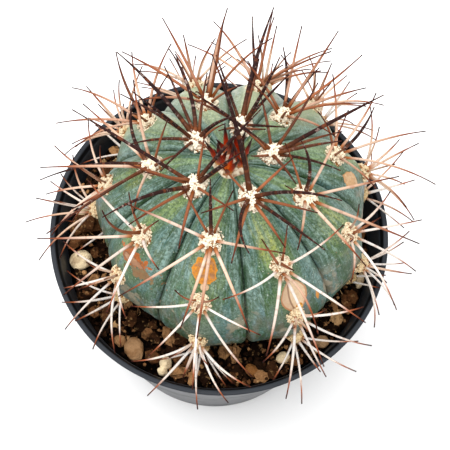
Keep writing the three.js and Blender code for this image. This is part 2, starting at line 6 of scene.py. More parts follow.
import bpy
import numpy as np
from bpy.props import FloatProperty, FloatVectorProperty, IntProperty, PointerProperty
from mathutils import Matrix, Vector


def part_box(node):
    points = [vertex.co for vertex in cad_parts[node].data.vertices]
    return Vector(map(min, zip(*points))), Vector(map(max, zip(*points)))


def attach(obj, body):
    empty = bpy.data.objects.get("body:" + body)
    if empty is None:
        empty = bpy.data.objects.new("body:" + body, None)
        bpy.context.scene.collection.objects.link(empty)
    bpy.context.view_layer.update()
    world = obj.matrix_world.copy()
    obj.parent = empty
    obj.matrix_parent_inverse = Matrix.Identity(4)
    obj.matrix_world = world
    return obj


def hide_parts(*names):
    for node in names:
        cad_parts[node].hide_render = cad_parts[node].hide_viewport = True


bl_info = {
    "name": "Potted round cactus",
    "version": (1, 0, 0),
    "blender": (4, 5, 0),
    "location": "View3D > Sidebar > Cactus",
    "description": "Makes a ribbed round cactus with woolly areoles and long spines in a nursery pot",
    "category": "Add Mesh",
}

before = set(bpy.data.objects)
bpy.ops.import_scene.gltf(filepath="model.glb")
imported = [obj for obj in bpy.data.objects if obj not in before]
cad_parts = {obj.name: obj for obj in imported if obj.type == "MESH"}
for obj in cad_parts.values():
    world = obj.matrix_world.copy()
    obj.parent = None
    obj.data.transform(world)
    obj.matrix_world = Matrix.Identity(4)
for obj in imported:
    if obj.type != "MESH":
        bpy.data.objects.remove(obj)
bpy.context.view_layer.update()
MM = 0.001  # lengths below are in millimetres and angles in degrees

RIM_RADIUS, _, POT_HEIGHT = (round(float(value) / MM, 3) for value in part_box("pot")[1])
LIP_WIDTH = 1.8
LIP_DEPTH = 1.6
LIP_OVERHANG = 1.4
LIP_UNDERSIDE = POT_HEIGHT - LIP_DEPTH
WALL = 1.2
FOOT_RADIUS = 40.0
DRAIN_HOLES = 6
DRAIN_RADIUS = 3.5
DRAIN_CIRCLE = 27.0
FOOT_ROUNDING = 0.8
WALL_INSET = 0.6  # the wall ends this much within the lip's underside
WALL_END = LIP_UNDERSIDE - 1.6
LIP_ROUNDING = 0.45

SOIL_LEVEL = 73.5
SOIL_ROUGHNESS = 1.1
GAP = 0.3

STEM_RADIUS = 48.0
STEM_HALF_HEIGHT = 42.0
STEM_CENTRE = np.array([4.0, 3.0, 95.0])
LEAN_LEFT = 2.9
LEAN_BACK = 1.3
GROOVE_DEPTH = 6.4
FLAT_DEPTH = 2.8
CREASE_DEPTH = 0.9
GROOVE_FULL = 52  # the angle from the apex where the grooves are full, and those where they fade
GROOVE_FADE = (58, 92)
CROWN_DIP = 2.6
CROWN_DIP_WIDTH = 9
RIB_AZIMUTHS = [260, 301, 341, 378, 413, 440, 472, 507, 541, 579]
RIB_ARC = 45.0  # millimetres along a rib to a radian from the apex
ROOT_RADIUS = 10.0
ROOT_LENGTH = 24.0

WHORL_ANGLES = [17, 33, 48, 61.5, 76.5, 90.5, 101, 112]
WOOL_HALF_LENGTH = [4.6, 4.4, 4.1, 3.9, 3.7, 3.5, 3.3, 3.0]
WOOL_SIDES = 7
WOOL_HEIGHT = 2.5
WOOL_SUNK = 0.9
WOOL_SKIRT = [0.9, 1.0]  # the two rings under a mound's edge, outwards as shares, and their heights
WOOL_SKIRT_HEIGHTS = [-WOOL_SUNK, -0.3]
MOUND_SIDES = 72
AREOLE_MARGIN = 0.5

# Spines: turn from up the rib, lean from the surface's normal, length and width.
RADIALS = [
    (-28, 50, 22, 1.1), (23, 52, 22, 1.1), (-81, 60, 28, 1.25), (78, 62, 28, 1.25),
    (-138, 60, 33, 1.35), (136, 62, 33, 1.35), (178, 60, 34, 1.3),
]
RADIAL_GROWTH = [0.68, 0.96, 0.9, 0.76, 0.78, 0.74, 0.68, 0.52]
RADIAL_THINNING = [1, 0.96, 0.88, 0.82, 0.8, 0.78, 0.76, 0.72]
DROOP = [10, 20, 26, 28, 28, 26, 22, 18]
RADIAL_SPREAD = 0.6
SIDE_PULL = 0.4
RADIAL_SEAT = 1.1
CENTRAL = (0, 30, 24, 1.5)
CENTRAL_SEAT = 1.5
CENTRAL_SPREAD = 0.2
STRONG_SEAT = 1.3
STRONG_SPREAD = 1.8
JITTER = {"turn": 9, "lean": 6, "length": 0.14, "width": 0.1, "bend": 13, "sweep": 7.8}
# The centrals that stand out, each by its rib, its whorl and the values that the rule would give it.
STRONG_KEYS = ("rib", "whorl", "turn", "lean", "length", "bend", "sweep", "width", "pale")
STRONG_CENTRALS = [
    (9, 0, -5, 50, 38, 3, 8, 1.7, 0), (9, 0, -114, 56, 45, 12, 0, 1.6, 0.12),
    (9, 0, 176, 36, 44, 22, -13, 1.75, 0), (9, 0, 28, 44, 28, 8, 0, 1.5, 0),
    (1, 0, 118, 44, 36, 34, 24, 1.65, 0), (1, 0, 161, 53, 34, 2, 2, 1.5, 0.06),
    (1, 0, 10, 53, 49, 14, -12, 1.9, 0), (1, 0, -117, 44, 33, 3, -59, 1.4, 0.12),
    (3, 0, -173, 36, 42, 9, -3, 1.9, 0), (3, 0, 30, 64, 35, 14, 0, 1.7, 0),
    (3, 0, -138, 33, 29, 6, 4, 1.5, 0.12), (5, 0, 177, 57, 39, 5, 12, 1.8, 0),
    (5, 0, -119, 20, 29, -8, -5, 1.5, 0), (7, 0, -163, 59, 37, 7, -15, 1.8, 0),
    (7, 0, -125, 74, 33, 2, -34, 1.65, 0), (7, 0, -38, 48, 22, 21, 18, 1.6, 0),
    (7, 0, 140, 24, 30, 6, 4, 1.5, 0), (0, 1, -6, 52, 24, 4, 0, 1.6, 0),
    (0, 1, 164, 32, 45, 5, 1, 1.3, 0.62), (2, 1, 36, 42, 25, 34, -32, 1.6, 0),
    (4, 1, 147, 72, 26, 7, -21, 1.55, 0), (4, 1, 165, 77, 25, 8, 9, 1.5, 0),
    (4, 1, -159, 51, 32, -5, -11, 1.2, 0.28), (4, 1, -106, 50, 31, 22, 7, 1.15, 0.4),
    (6, 1, -154, 66, 33, -2, 10, 1.5, 0), (6, 1, -81, 19, 30, -3, -3, 1.2, 0.3),
    (8, 1, -125, 74, 23, 28, 50, 1.55, 0), (8, 1, -168, 82, 40, 12, -25, 1.4, 0.1),
    (8, 1, 118, 52, 46, 7, -5, 1.4, 0.1), (9, 2, -5, 22, 28, 50, -18, 1.35, 0.1),
    (1, 2, -2, 10, 15, 3, -1, 1.3, 0.2), (1, 2, -157, 12, 38, 37, 14, 1.2, 0.5),
    (3, 2, 149, 76, 27, 1, -26, 1.45, 0), (5, 2, 155, 51, 28, 6, 8, 1.3, 0),
    (5, 2, 175, 45, 29, 9, 1, 1.2, 0.26), (5, 2, -59, 53, 34, 13, 3, 1.1, 0.4),
    (5, 2, -55, 62, 26, 11, -18, 1.1, 0.35), (7, 2, -154, 62, 32, 3, 22, 1.3, 0.2),
]
SPINE_STEPS = 12
SPINE_TAPER = (0.9, 2.8)  # how much of the width a spine loses to its tip, and how late it does
CLEARANCE = 0.35
SKIN_CLEARANCE = 0.8
WALL_CLEARANCE = 1.0
LIFTS = [0, 7, 14, 21, 28, 36, 44, 52, 60]
SWINGS = [0, 5, -5, 10, -10]
WORN_WHORL = 6

CROWN_RADIUS = 6.2
CROWN_FANS = 5
CROWN_FAN_ANGLE = 4.2
CROWN_SPINES = 4
CROWN_WIDTH = 1.3
CROWN_HEIGHT = 3.0

# Azimuth, distance from the pot's axis, length, width, height and turn of the loose stones.
STONES = [
    (192, 50.0, 8.6, 7.8, 5.6, 20), (171, 50.5, 5.4, 4.8, 3.6, 80), (133, 49.5, 6.6, 4.6, 3.6, 90),
    (252, 50.0, 7.6, 5.0, 4.0, 0), (238, 50.0, 9.0, 7.2, 4.6, 40), (231, 50.6, 4.8, 4.2, 3.4, 70),
    (288, 49.0, 5.4, 4.2, 3.0, 30), (302, 48.5, 5.4, 4.6, 3.0, 95), (319, 51.8, 5.2, 4.8, 2.8, 50),
    (349, 52.6, 6.4, 3.2, 2.8, 90),
]
STONE_SUNK = 0.3
STONE_MARGIN = 0.3

OPEN_LIGHT = 1.6  # the studio light shows an open surface this much brighter than its paint
NOOK_LIGHT = 1.15  # and one with deep nooks this much


def colour(red, green, blue, light=OPEN_LIGHT):
    """A colour as it looks in the studio light, from 0 to 255, turned into the paint that gives it."""
    channels = []
    for value in (red, green, blue):
        share = value / 255
        linear = share / 12.92 if share <= 0.04045 else ((share + 0.055) / 1.055) ** 2.4
        channels.append(linear / light)
    return (*channels, 1.0)


# ---- Settings that a user would change ----

def paint(name, description, red, green, blue, light=OPEN_LIGHT):
    """A colour property."""
    return FloatVectorProperty(
        name=name, description=description, default=colour(red, green, blue, light), size=4, subtype="COLOR",
        min=0.0, max=1.0,
    )


def length(name, description, value):
    """A length property, kept in metres."""
    return FloatProperty(name=name, description=description, default=value * MM, min=0.0, unit="LENGTH")


def whole(name, description, value, least=0):
    """A property that counts something."""
    return IntProperty(name=name, description=description, default=value, min=least)


class PotSettings(bpy.types.PropertyGroup):
    lip_rounding: length("Lip rounding", "Radius of the lip's two edges", LIP_ROUNDING)
    colour: paint("Plastic", "Colour of the pot's plastic", 50, 54, 60)
    sides: whole("Sides", "Facets round the pot", 192, 24)


class SoilSettings(bpy.types.PropertyGroup):
    chips: whole("Bark chips", "Chips of bark on the soil", 300)
    crumbs: whole("Crumbs", "Small crumbs of soil and grit", 2600)
    fibres: whole("Fibres", "Fine roots and fibres", 26)
    # partly painted shade: the peat is nearly black so that the gaps between the chips look shaded
    dark: paint("Peat", "Colour of the damp peat", 5, 3, 2)
    bark: paint("Bark", "Colour of the dry bark", 204, 152, 102)


class StoneSettings(bpy.types.PropertyGroup):
    colour: paint("Stone", "Colour of the loose stones", 240, 218, 178, NOOK_LIGHT)


class StemSettings(bpy.types.PropertyGroup):
    crest: paint("Crest", "Colour of the rib crests", 138, 164, 98)
    # painted shade: the flank colour is darker than the crest's, standing in for the shade on the ribs' sides
    flank: paint("Flank", "Colour of the rib flanks", 56, 93, 55)
    # painted shade: the groove colour stands in for the shade in the crease
    groove: paint("Groove", "Colour in the grooves", 22, 40, 32)
    bloom: paint("Bloom", "Colour of the waxy bloom", 114, 138, 150)
    rows: whole("Rows", "Rings of the stem's surface", 208, 24)
    rib_steps: whole("Rib steps", "Points across half a rib", 21, 4)


class SpineSettings(bpy.types.PropertyGroup):
    young: paint("Young spine", "Colour of the new dark centrals", 50, 30, 28)
    warm: paint("Warm spine", "Colour of the upper radials", 178, 112, 76)
    bone: paint("Old spine", "Colour of the old radials", 255, 250, 244)
    tip: paint("Tip", "Colour of the spine tips", 58, 22, 14)
    sides: whole("Sides", "Facets round a spine", 6, 3)


class WoolSettings(bpy.types.PropertyGroup):
    fresh: paint("Fresh wool", "Colour of the wool's crumbs", 248, 238, 216, NOOK_LIGHT)
    old: paint("Old wool", "Colour of the weathered wool", 220, 192, 142, NOOK_LIGHT)
    # partly painted shade: this colour darkens the low parts between the crumbs and the mound's foot
    deep: paint("Hollows", "Colour between the crumbs", 148, 100, 58, NOOK_LIGHT)
    crumb: length("Crumb size", "Width of a crumb of wool", 0.6)
    crumbs: whole("Crumbs", "Loose lumps on one areole", 190)
    tufts: whole("Tufts", "Loose hairs round one areole", 110)


class StageSettings(bpy.types.PropertyGroup):
    floor: FloatVectorProperty(name="Floor", description="Colour of the floor", default=(0.82, 0.82, 0.82, 1.0), size=4,
                               subtype="COLOR", min=0.0, max=1.0)
    light: FloatProperty(name="Soft light", description="Power of the overhead light", default=19.5, unit="POWER")
    sky: FloatProperty(name="Sky", description="Strength of the surrounding light", default=1.22, min=0.0)


# ---- Numbers ----

class Dice:
    """A repeatable series of numbers from 0 to 1."""

    def __init__(self, seed):
        self.state = seed

    def __call__(self):
        self.state = (self.state * 1664525 + 1013904223) % 4294967296
        return self.state / 4294967296


def unit(vectors):
    """The vectors, each divided by its length."""
    return vectors / np.linalg.norm(vectors, axis=-1, keepdims=True)


def around(sides):
    """The angles of so many even steps round a ring."""
    return 2 * np.pi * np.arange(sides) / sides


def smooth(value, start, end):
    """0 before start and 1 after end, with an even curve between them."""
    part = np.clip((value - start) / (end - start), 0, 1)
    return part * part * (3 - 2 * part)


def scatter(cells, seed):
    """A fixed random number from -1 to 1 for each cell of a cubic lattice."""
    mixed = cells[..., 0] * 73856093 ^ cells[..., 1] * 19349663 ^ cells[..., 2] * 83492791
    mixed = (mixed + seed * 2654435761) & 0xFFFFFFFF
    mixed = ((mixed ^ (mixed >> 15)) * 2246822519) & 0xFFFFFFFF
    mixed = ((mixed ^ (mixed >> 13)) * 3266489917) & 0xFFFFFFFF
    return (mixed ^ (mixed >> 16)) / 2147483648.0 - 1


def grain(points, size, seed=0):
    """Smooth bumps from -1 to 1: the lattice's random numbers, blended by an even curve along each axis."""
    scaled = points / size
    cell = np.floor(scaled).astype(np.int64)
    part = scaled - cell
    part = part * part * (3 - 2 * part)
    total = np.zeros(points.shape[:-1])
    for corner in itertools.product((0, 1), repeat=3):
        weight = np.prod(np.where(corner, part, 1 - part), axis=-1)
        total += weight * scatter(cell + np.array(corner), seed)
    return total


def layered(points, size, layers, seed=0):
    """Bumps with finer bumps on them, each layer half as wide and half as high."""
    return sum(grain(points, size / 2 ** k, seed + k) / 2 ** k for k in range(layers))


# ---- The stem's surface and the frames of its areoles ----

def about(axis, degrees):
    """The matrix of a turn about an axis."""
    c, s = math.cos(math.radians(degrees)), math.sin(math.radians(degrees))
    if axis == "x":
        return np.array([[1, 0, 0], [0, c, -s], [0, s, c]])
    if axis == "y":
        return np.array([[c, 0, s], [0, 1, 0], [-s, 0, c]])
    return np.array([[c, -s, 0], [s, c, 0], [0, 0, 1]])


LEAN = about("y", -LEAN_LEFT) @ about("x", -LEAN_BACK)
CRESTS = np.array(RIB_AZIMUTHS + [RIB_AZIMUTHS[0] + 360], dtype=float)


def across_rib(azimuth):
    """0 on the nearest crest and 1 in the groove beside it, straight between them."""
    turned = CRESTS[0] + np.mod(np.asarray(azimuth, dtype=float) - CRESTS[0], 360)
    rib = np.clip(np.searchsorted(CRESTS, turned) - 1, 0, len(RIB_AZIMUTHS) - 1)
    part = (turned - CRESTS[rib]) / (CRESTS[rib + 1] - CRESTS[rib])
    return 1 - np.abs(1 - 2 * part)


def groove_depth(polar, across):
    """How far the surface lies inside the crests: powers of the place across the rib on the upper half, and
    low down a section that is nearly flat from crest to crest, with a fine crease."""
    rise = np.minimum(1, polar / GROOVE_FULL)
    profile = 0.3 * across ** 1.5 + 0.5 * across ** 2 + 0.2 * across ** 10
    upper = GROOVE_DEPTH * np.sin(rise * np.pi / 2) * profile
    lower = FLAT_DEPTH * (1 - (1 - across) ** 2) + CREASE_DEPTH * across ** 12
    share = smooth(polar, *GROOVE_FADE)
    return upper * (1 - share) + lower * share


def stem_point(polar, azimuth, lift=0.0):
    """An ellipsoid over the angle from the apex and the azimuth, narrowed in the grooves, dimpled at the
    apex and leaned."""
    polar = np.asarray(polar, dtype=float)
    azimuth = np.asarray(azimuth, dtype=float)
    across = across_rib(azimuth)
    shrink = 1 - groove_depth(polar, across) / STEM_RADIUS
    dip = CROWN_DIP * np.exp(-((polar / CROWN_DIP_WIDTH) ** 2))
    wide = (STEM_RADIUS * shrink + lift) * np.sin(np.radians(polar))
    high = (STEM_HALF_HEIGHT * (0.35 + 0.65 * shrink) + lift) * np.cos(np.radians(polar)) - dip
    flat = np.radians(azimuth)
    local = np.stack([wide * np.cos(flat), wide * np.sin(flat), high + 0 * flat], axis=-1)
    return local @ LEAN.T + STEM_CENTRE


def areole_frame(polar, azimuth):
    """The place on the crest, the normal, the way up the rib and the way to the right."""
    s, c = math.sin(math.radians(polar)), math.cos(math.radians(polar))
    x, y = math.cos(math.radians(azimuth)), math.sin(math.radians(azimuth))
    normal = np.array([s * x / STEM_RADIUS, s * y / STEM_RADIUS, c / STEM_HALF_HEIGHT])
    up = np.array([-STEM_RADIUS * c * x, -STEM_RADIUS * c * y, STEM_HALF_HEIGHT * s])
    normal, up = unit(LEAN @ normal), unit(LEAN @ up)
    return {"place": stem_point(polar, azimuth), "normal": normal, "up": up, "right": np.cross(up, normal)}


# ---- Where the spines grow ----

def heading(base, turn, lean):
    """The direction that leans from the areole's normal by lean, towards turn clockwise from up the rib."""
    turn, lean = np.radians(turn)[..., None], np.radians(lean)[..., None]
    flat = base["up"] * np.cos(turn) + base["right"] * np.sin(turn)
    return base["normal"] * np.cos(lean) + flat * np.sin(lean)


def spine_line(base, spine, lift, swing):
    """A walk of equal steps whose turn and lean change evenly along it, raised by lift towards the open air."""
    outward = unit(np.array([base["place"][0], base["place"][1], 0.0]))
    open_air = unit(outward * 0.8 + np.array([0, 0, 0.6]))
    place = base["place"] + base["normal"] * spine["seat"]
    reach = spine["spread"] * (1 - SIDE_PULL * math.sin(math.radians(spine["turn"])) ** 2)
    place = place + heading(base, np.float64(spine["turn"]), np.float64(90)) * reach
    part = (np.arange(SPINE_STEPS) + 0.5) / SPINE_STEPS
    way = heading(base, spine["turn"] + swing + spine["sweep"] * part, spine["lean"] + spine["bend"] * (part - 0.5))
    away = np.arccos(np.clip(way @ open_air, -1, 1))
    share = np.where(away > 0.01, np.minimum(1, math.radians(lift) / np.maximum(away, 0.01)), 0)
    raised = way * np.sin((1 - share) * away)[:, None] + open_air * np.sin(share * away)[:, None]
    steps = unit(raised) * (spine["length"] / SPINE_STEPS)
    return np.vstack([place, place + np.cumsum(steps, axis=0)])


def spine_radius(spine, part):
    """The radius along a spine, thinning slowly and then faster to its tip."""
    loss, power = SPINE_TAPER
    return spine["width"] / 2 * (1 - loss * part ** power)


STEP_PARTS = np.arange(SPINE_STEPS + 1) / SPINE_STEPS


def wall_radius(z):
    """The inner radius of the pot's wall at a height."""
    return RIM_RADIUS - LIP_WIDTH - (RIM_RADIUS - FOOT_RADIUS) / POT_HEIGHT * (POT_HEIGHT - z)


def hits_fixed(line, radius, stones, areoles, own):
    """True if the line meets the pot, the soil, the stem, a stone or another areole."""
    far, thick = line[2:], radius[2:]
    out = np.hypot(far[:, 0], far[:, 1])
    low = far[:, 2] < POT_HEIGHT + thick + CLEARANCE
    wall = low & (out > wall_radius(far[:, 2]) - thick - WALL_CLEARANCE) & (out < RIM_RADIUS + thick + CLEARANCE)
    soil = (out < RIM_RADIUS) & (far[:, 2] < SOIL_LEVEL + SOIL_ROUGHNESS + thick + CLEARANCE)
    local = far - STEM_CENTRE
    share = np.linalg.norm(local / [STEM_RADIUS, STEM_RADIUS, STEM_HALF_HEIGHT], axis=1)
    above = np.linalg.norm(local, axis=1) * (1 - 1 / share)
    stem = above[3:] < thick[3:] + SKIN_CLEARANCE
    if wall.any() or soil.any() or stem.any():
        return True
    balls = [(stone["middle"], stone["reach"]) for stone in stones]
    balls += [(other["frame"]["place"], other["reach"]) for other in areoles if other is not own]
    middles = np.array([middle for middle, _ in balls])
    reaches = np.array([reach for _, reach in balls])
    gaps = np.linalg.norm(far[:, None] - middles[None], axis=2) - reaches[None] - thick[:, None]
    return bool((gaps < 0).any())


def least_distance(a0, a1, b0, b1):
    """The least distance between straight pieces: the nearest point on each, kept between its ends."""
    u, v, w = a1 - a0, b1 - b0, a0 - b0
    uu, uv, vv = (u * u).sum(-1), (u * v).sum(-1), (v * v).sum(-1)
    uw, vw = (u * w).sum(-1), (v * w).sum(-1)
    flat = uu * vv - uv * uv
    s = np.where(flat > 1e-9, np.clip((uv * vw - vv * uw) / np.maximum(flat, 1e-9), 0, 1), 0)
    t = np.clip((uv * s + vw) / vv, 0, 1)
    again = np.clip((uv * t - uw) / uu, 0, 1)
    return np.linalg.norm(w + u * again[..., None] - v * t[..., None], axis=-1)


def meets_spine(line, radius, settled, own):
    """True if the line comes too near a settled spine of another areole."""
    others = [other for other in settled if other["areole"] is not own]
    if not others:
        return False
    lines = np.array([other["line"] for other in others])
    radii = np.array([other["radius"] for other in others])
    reach = np.array([other["length"] for other in others]) + np.linalg.norm(line[1] - line[0]) * SPINE_STEPS + 4
    near = np.linalg.norm(lines[:, 0] - line[0], axis=1) <= reach
    lines, radii = lines[near], radii[near]
    b0, b1 = lines[:, None, 0:-2:2], lines[:, None, 2::2]
    a0, a1 = line[None, 0:-2:2, None], line[None, 2::2, None]
    room = radius[None, 0:-2:2, None] + radii[:, None, 0:-2:2] + CLEARANCE
    return bool((least_distance(a0, a1, b0, b1) < room).any())


def list_areoles():
    """Five areoles to a whorl, on every other rib in turn."""
    areoles = []
    for whorl, polar in enumerate(WHORL_ANGLES):
        for rib, azimuth in enumerate(RIB_AZIMUTHS):
            if rib % 2 != whorl % 2:
                base = areole_frame(polar, azimuth)
                areoles.append({"rib": rib, "whorl": whorl, "polar": polar, "azimuth": azimuth, "frame": base,
                                "reach": WOOL_HALF_LENGTH[whorl] + AREOLE_MARGIN})
    return areoles


def spines_of(areole):
    """The centrals and radials of one areole, each a little different."""
    roll = Dice(1000 * areole["rib"] + 37 * areole["whorl"] + 11)

    def jitter(name):
        """A stray of this kind, to either side."""
        return JITTER[name] * (2 * roll() - 1)

    def vary(base, growth, thin, droop):
        """A spine like its base, with its strays."""
        turn, lean, size, width = base
        return {
            "areole": areole,
            "turn": turn + jitter("turn"),
            "lean": lean + jitter("lean"),
            "length": size * growth * (1 + jitter("length")),
            "width": width * thin * (1 + jitter("width")),
            "bend": droop + jitter("bend"),
            "sweep": jitter("sweep"),
            "seat": RADIAL_SEAT,
            "spread": RADIAL_SPREAD * WOOL_HALF_LENGTH[areole["whorl"]],
            "kind": "radial",
        }

    whorl = areole["whorl"]
    growth, thin, droop = RADIAL_GROWTH[whorl], RADIAL_THINNING[whorl], DROOP[whorl]
    kept = RADIALS[0 if whorl < WORN_WHORL else 2:]
    radials = [vary(base, growth, thin, droop) for base in kept]
    for spine in radials[:2]:
        spine["kind"] = "upper"
    central = vary(CENTRAL, min(1, growth + 0.05), thin, 0)
    central.update(seat=CENTRAL_SEAT, spread=CENTRAL_SPREAD, kind="central")
    strong = [{**dict(zip(STRONG_KEYS, row)), "areole": areole, "seat": STRONG_SEAT, "spread": STRONG_SPREAD,
               "kind": "strong"} for row in STRONG_CENTRALS if row[:2] == (areole["rib"], whorl)]
    return (strong or [central]) + radials


def settle_spines(areoles, stones):
    """Every spine in turn, the strong ones first, is swung or raised until it is clear of all that is settled."""
    settled = []
    spines = [spine for areole in areoles for spine in spines_of(areole)]
    for spine in sorted(spines, key=lambda spine: spine["kind"] != "strong"):
        areole, radius = spine["areole"], spine_radius(spine, STEP_PARTS)
        for lift, swing in itertools.product(LIFTS, SWINGS):
            line = spine_line(areole["frame"], spine, lift, swing)
            if hits_fixed(line, radius, stones, areoles, areole):
                continue
            if not meets_spine(line, radius, settled, areole):
                settled.append({**spine, "line": line, "radius": radius})
                break
    return settled


def soil_height(x, y):
    """The soil's level with slow waves across it."""
    lumps = np.sin(0.41 * x + 1.3) * np.sin(0.37 * y + 0.4) + np.sin(0.23 * x - 0.31 * y)
    return SOIL_LEVEL + 0.5 * SOIL_ROUGHNESS * lumps


def list_stones():
    """The stones' middles and reaches, partly sunk in the soil."""
    stones = []
    for azimuth, distance, long, wide, high, turn in STONES:
        x = distance * math.cos(math.radians(azimuth))
        y = distance * math.sin(math.radians(azimuth))
        middle = np.array([x, y, soil_height(x, y) + (0.5 - STONE_SUNK) * high])
        stones.append({"middle": middle, "size": np.array([long, wide, high]), "turn": azimuth + turn,
                       "reach": long / 2 + STONE_MARGIN})
    return stones


# ---- Surfaces ----

def closed_rings(rings, sides):
    """The faces of a skin over rings of points that run anticlockwise as the rings go up. The points are
    followed by the one that closes the first ring and the one that closes the last."""
    step = np.arange(sides)
    after = (step + 1) % sides
    start = np.arange(rings - 1)[:, None] * sides
    quads = np.stack([start + step, start + after, start + sides + after, start + sides + step], -1).reshape(-1, 4)
    last = (rings - 1) * sides
    first_hub, last_hub = np.full(sides, rings * sides), np.full(sides, rings * sides + 1)
    below = np.stack([first_hub, after, step], -1)
    above = np.stack([last_hub, last + step, last + after], -1)
    return quads, np.vstack([below, above])


class Skin:
    """Closed surfaces with values at their points, gathered into one mesh."""

    LAYERS = ("along", "tone", "chance")

    def __init__(self, *first, **values):
        self.points, self.quads, self.triangles, self.finishes = [], [], [], [[], []]
        self.layers = {name: [] for name in self.LAYERS}
        self.count = 0
        if first:
            self.add(*first, **values)

    def add(self, points, quads, triangles, finish=0, **values):
        """One more surface, with the number of its material and its values."""
        self.points.append(points)
        self.quads.append(quads + self.count)
        self.triangles.append(triangles + self.count)
        self.finishes[0].append(np.full(len(quads), finish))
        self.finishes[1].append(np.full(len(triangles), finish))
        for name in self.LAYERS:
            self.layers[name].append(np.broadcast_to(values.get(name, 0.0), len(points)))
        self.count += len(points)
        return self

    def add_many(self, points, quads, triangles, finish=0, **values):
        """Copies of one skin: points is copies by points by 3, and each value is copies by points."""
        copies, size = points.shape[:2]
        shift = (np.arange(copies) * size)[:, None, None]
        spread = {name: np.broadcast_to(value, (copies, size)).reshape(-1) for name, value in values.items()}
        return self.add(points.reshape(-1, 3), (quads[None] + shift).reshape(-1, 4),
                        (triangles[None] + shift).reshape(-1, 3), finish, **spread)

    def build(self, name, materials, flat=False):
        """The object with all the surfaces as one mesh, in metres."""
        points = np.concatenate(self.points) * MM
        quads, triangles = np.concatenate(self.quads), np.concatenate(self.triangles)
        corners = np.concatenate([quads.ravel(), triangles.ravel()]).astype(np.int32)
        starts = np.concatenate([np.arange(len(quads)) * 4, quads.size + np.arange(len(triangles)) * 3])
        mesh = bpy.data.meshes.new(name)
        mesh.vertices.add(len(points))
        mesh.vertices.foreach_set("co", points.ravel())
        mesh.loops.add(len(corners))
        mesh.loops.foreach_set("vertex_index", corners)
        mesh.polygons.add(len(starts))
        mesh.polygons.foreach_set("loop_start", starts.astype(np.int32))
        finish = np.concatenate(self.finishes[0] + self.finishes[1]).astype(np.int32)
        mesh.polygons.foreach_set("material_index", finish)
        mesh.polygons.foreach_set("use_smooth", np.full(len(starts), not flat))
        for material in materials:
            mesh.materials.append(material)
        for layer, values in self.layers.items():
            attribute = mesh.attributes.new(layer, "FLOAT", "POINT")
            attribute.data.foreach_set("value", np.concatenate(values).astype(np.float32))
        mesh.update(calc_edges=True)
        if mesh.validate():
            raise RuntimeError(f"{name} has broken faces")
        piece = bpy.data.objects.new(name, mesh)
        bpy.context.scene.collection.objects.link(piece)
        return piece


def place_piece(piece, slot, *nodes):
    """Every piece rides on the one body and stands for its nodes."""
    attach(piece, "root")
    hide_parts(*nodes)


def tubes(lines, radii, sides):
    """Round skins along many lines: at each point of a line a ring square to it, closed at both ends."""
    copies, rings, _ = lines.shape
    along = unit(np.gradient(lines, axis=1))
    whole = unit(lines[:, -1] - lines[:, 0])
    upright = np.abs(whole[:, 2:3]) > 0.85
    reference = np.where(upright, [[1.0, 0.0, 0.0]], [[0.0, 0.0, 1.0]])[:, None]
    side = unit(np.cross(along, np.broadcast_to(reference, along.shape)))
    over = np.cross(along, side)
    angle = around(sides)
    ring = side[:, :, None] * np.cos(angle)[:, None] + over[:, :, None] * np.sin(angle)[:, None]
    points = lines[:, :, None] + radii[:, :, None, None] * ring
    foot = lines[:, 0] - along[:, 0] * radii[:, :1] * 0.5
    tip = lines[:, -1] + along[:, -1] * radii[:, -1:] * 0.1
    ends = np.stack([foot, tip], axis=1)
    points = np.concatenate([points.reshape(copies, -1, 3), ends], axis=1)
    quads, triangles = closed_rings(rings, sides)
    return points, quads, triangles


def ball(rings, sides):
    """A round of radius 1: rings of latitude, closed at both poles."""
    latitude = np.pi * ((np.arange(rings) + 1) / (rings + 1) - 0.5)
    angle = around(sides)
    flat, high = np.cos(latitude)[:, None], np.sin(latitude)[:, None]
    points = np.stack([flat * np.cos(angle), flat * np.sin(angle), high + 0 * angle], -1).reshape(-1, 3)
    points = np.vstack([points, [[0, 0, -1], [0, 0, 1]]])
    return points, *closed_rings(rings, sides)


# ---- Shader building blocks ----

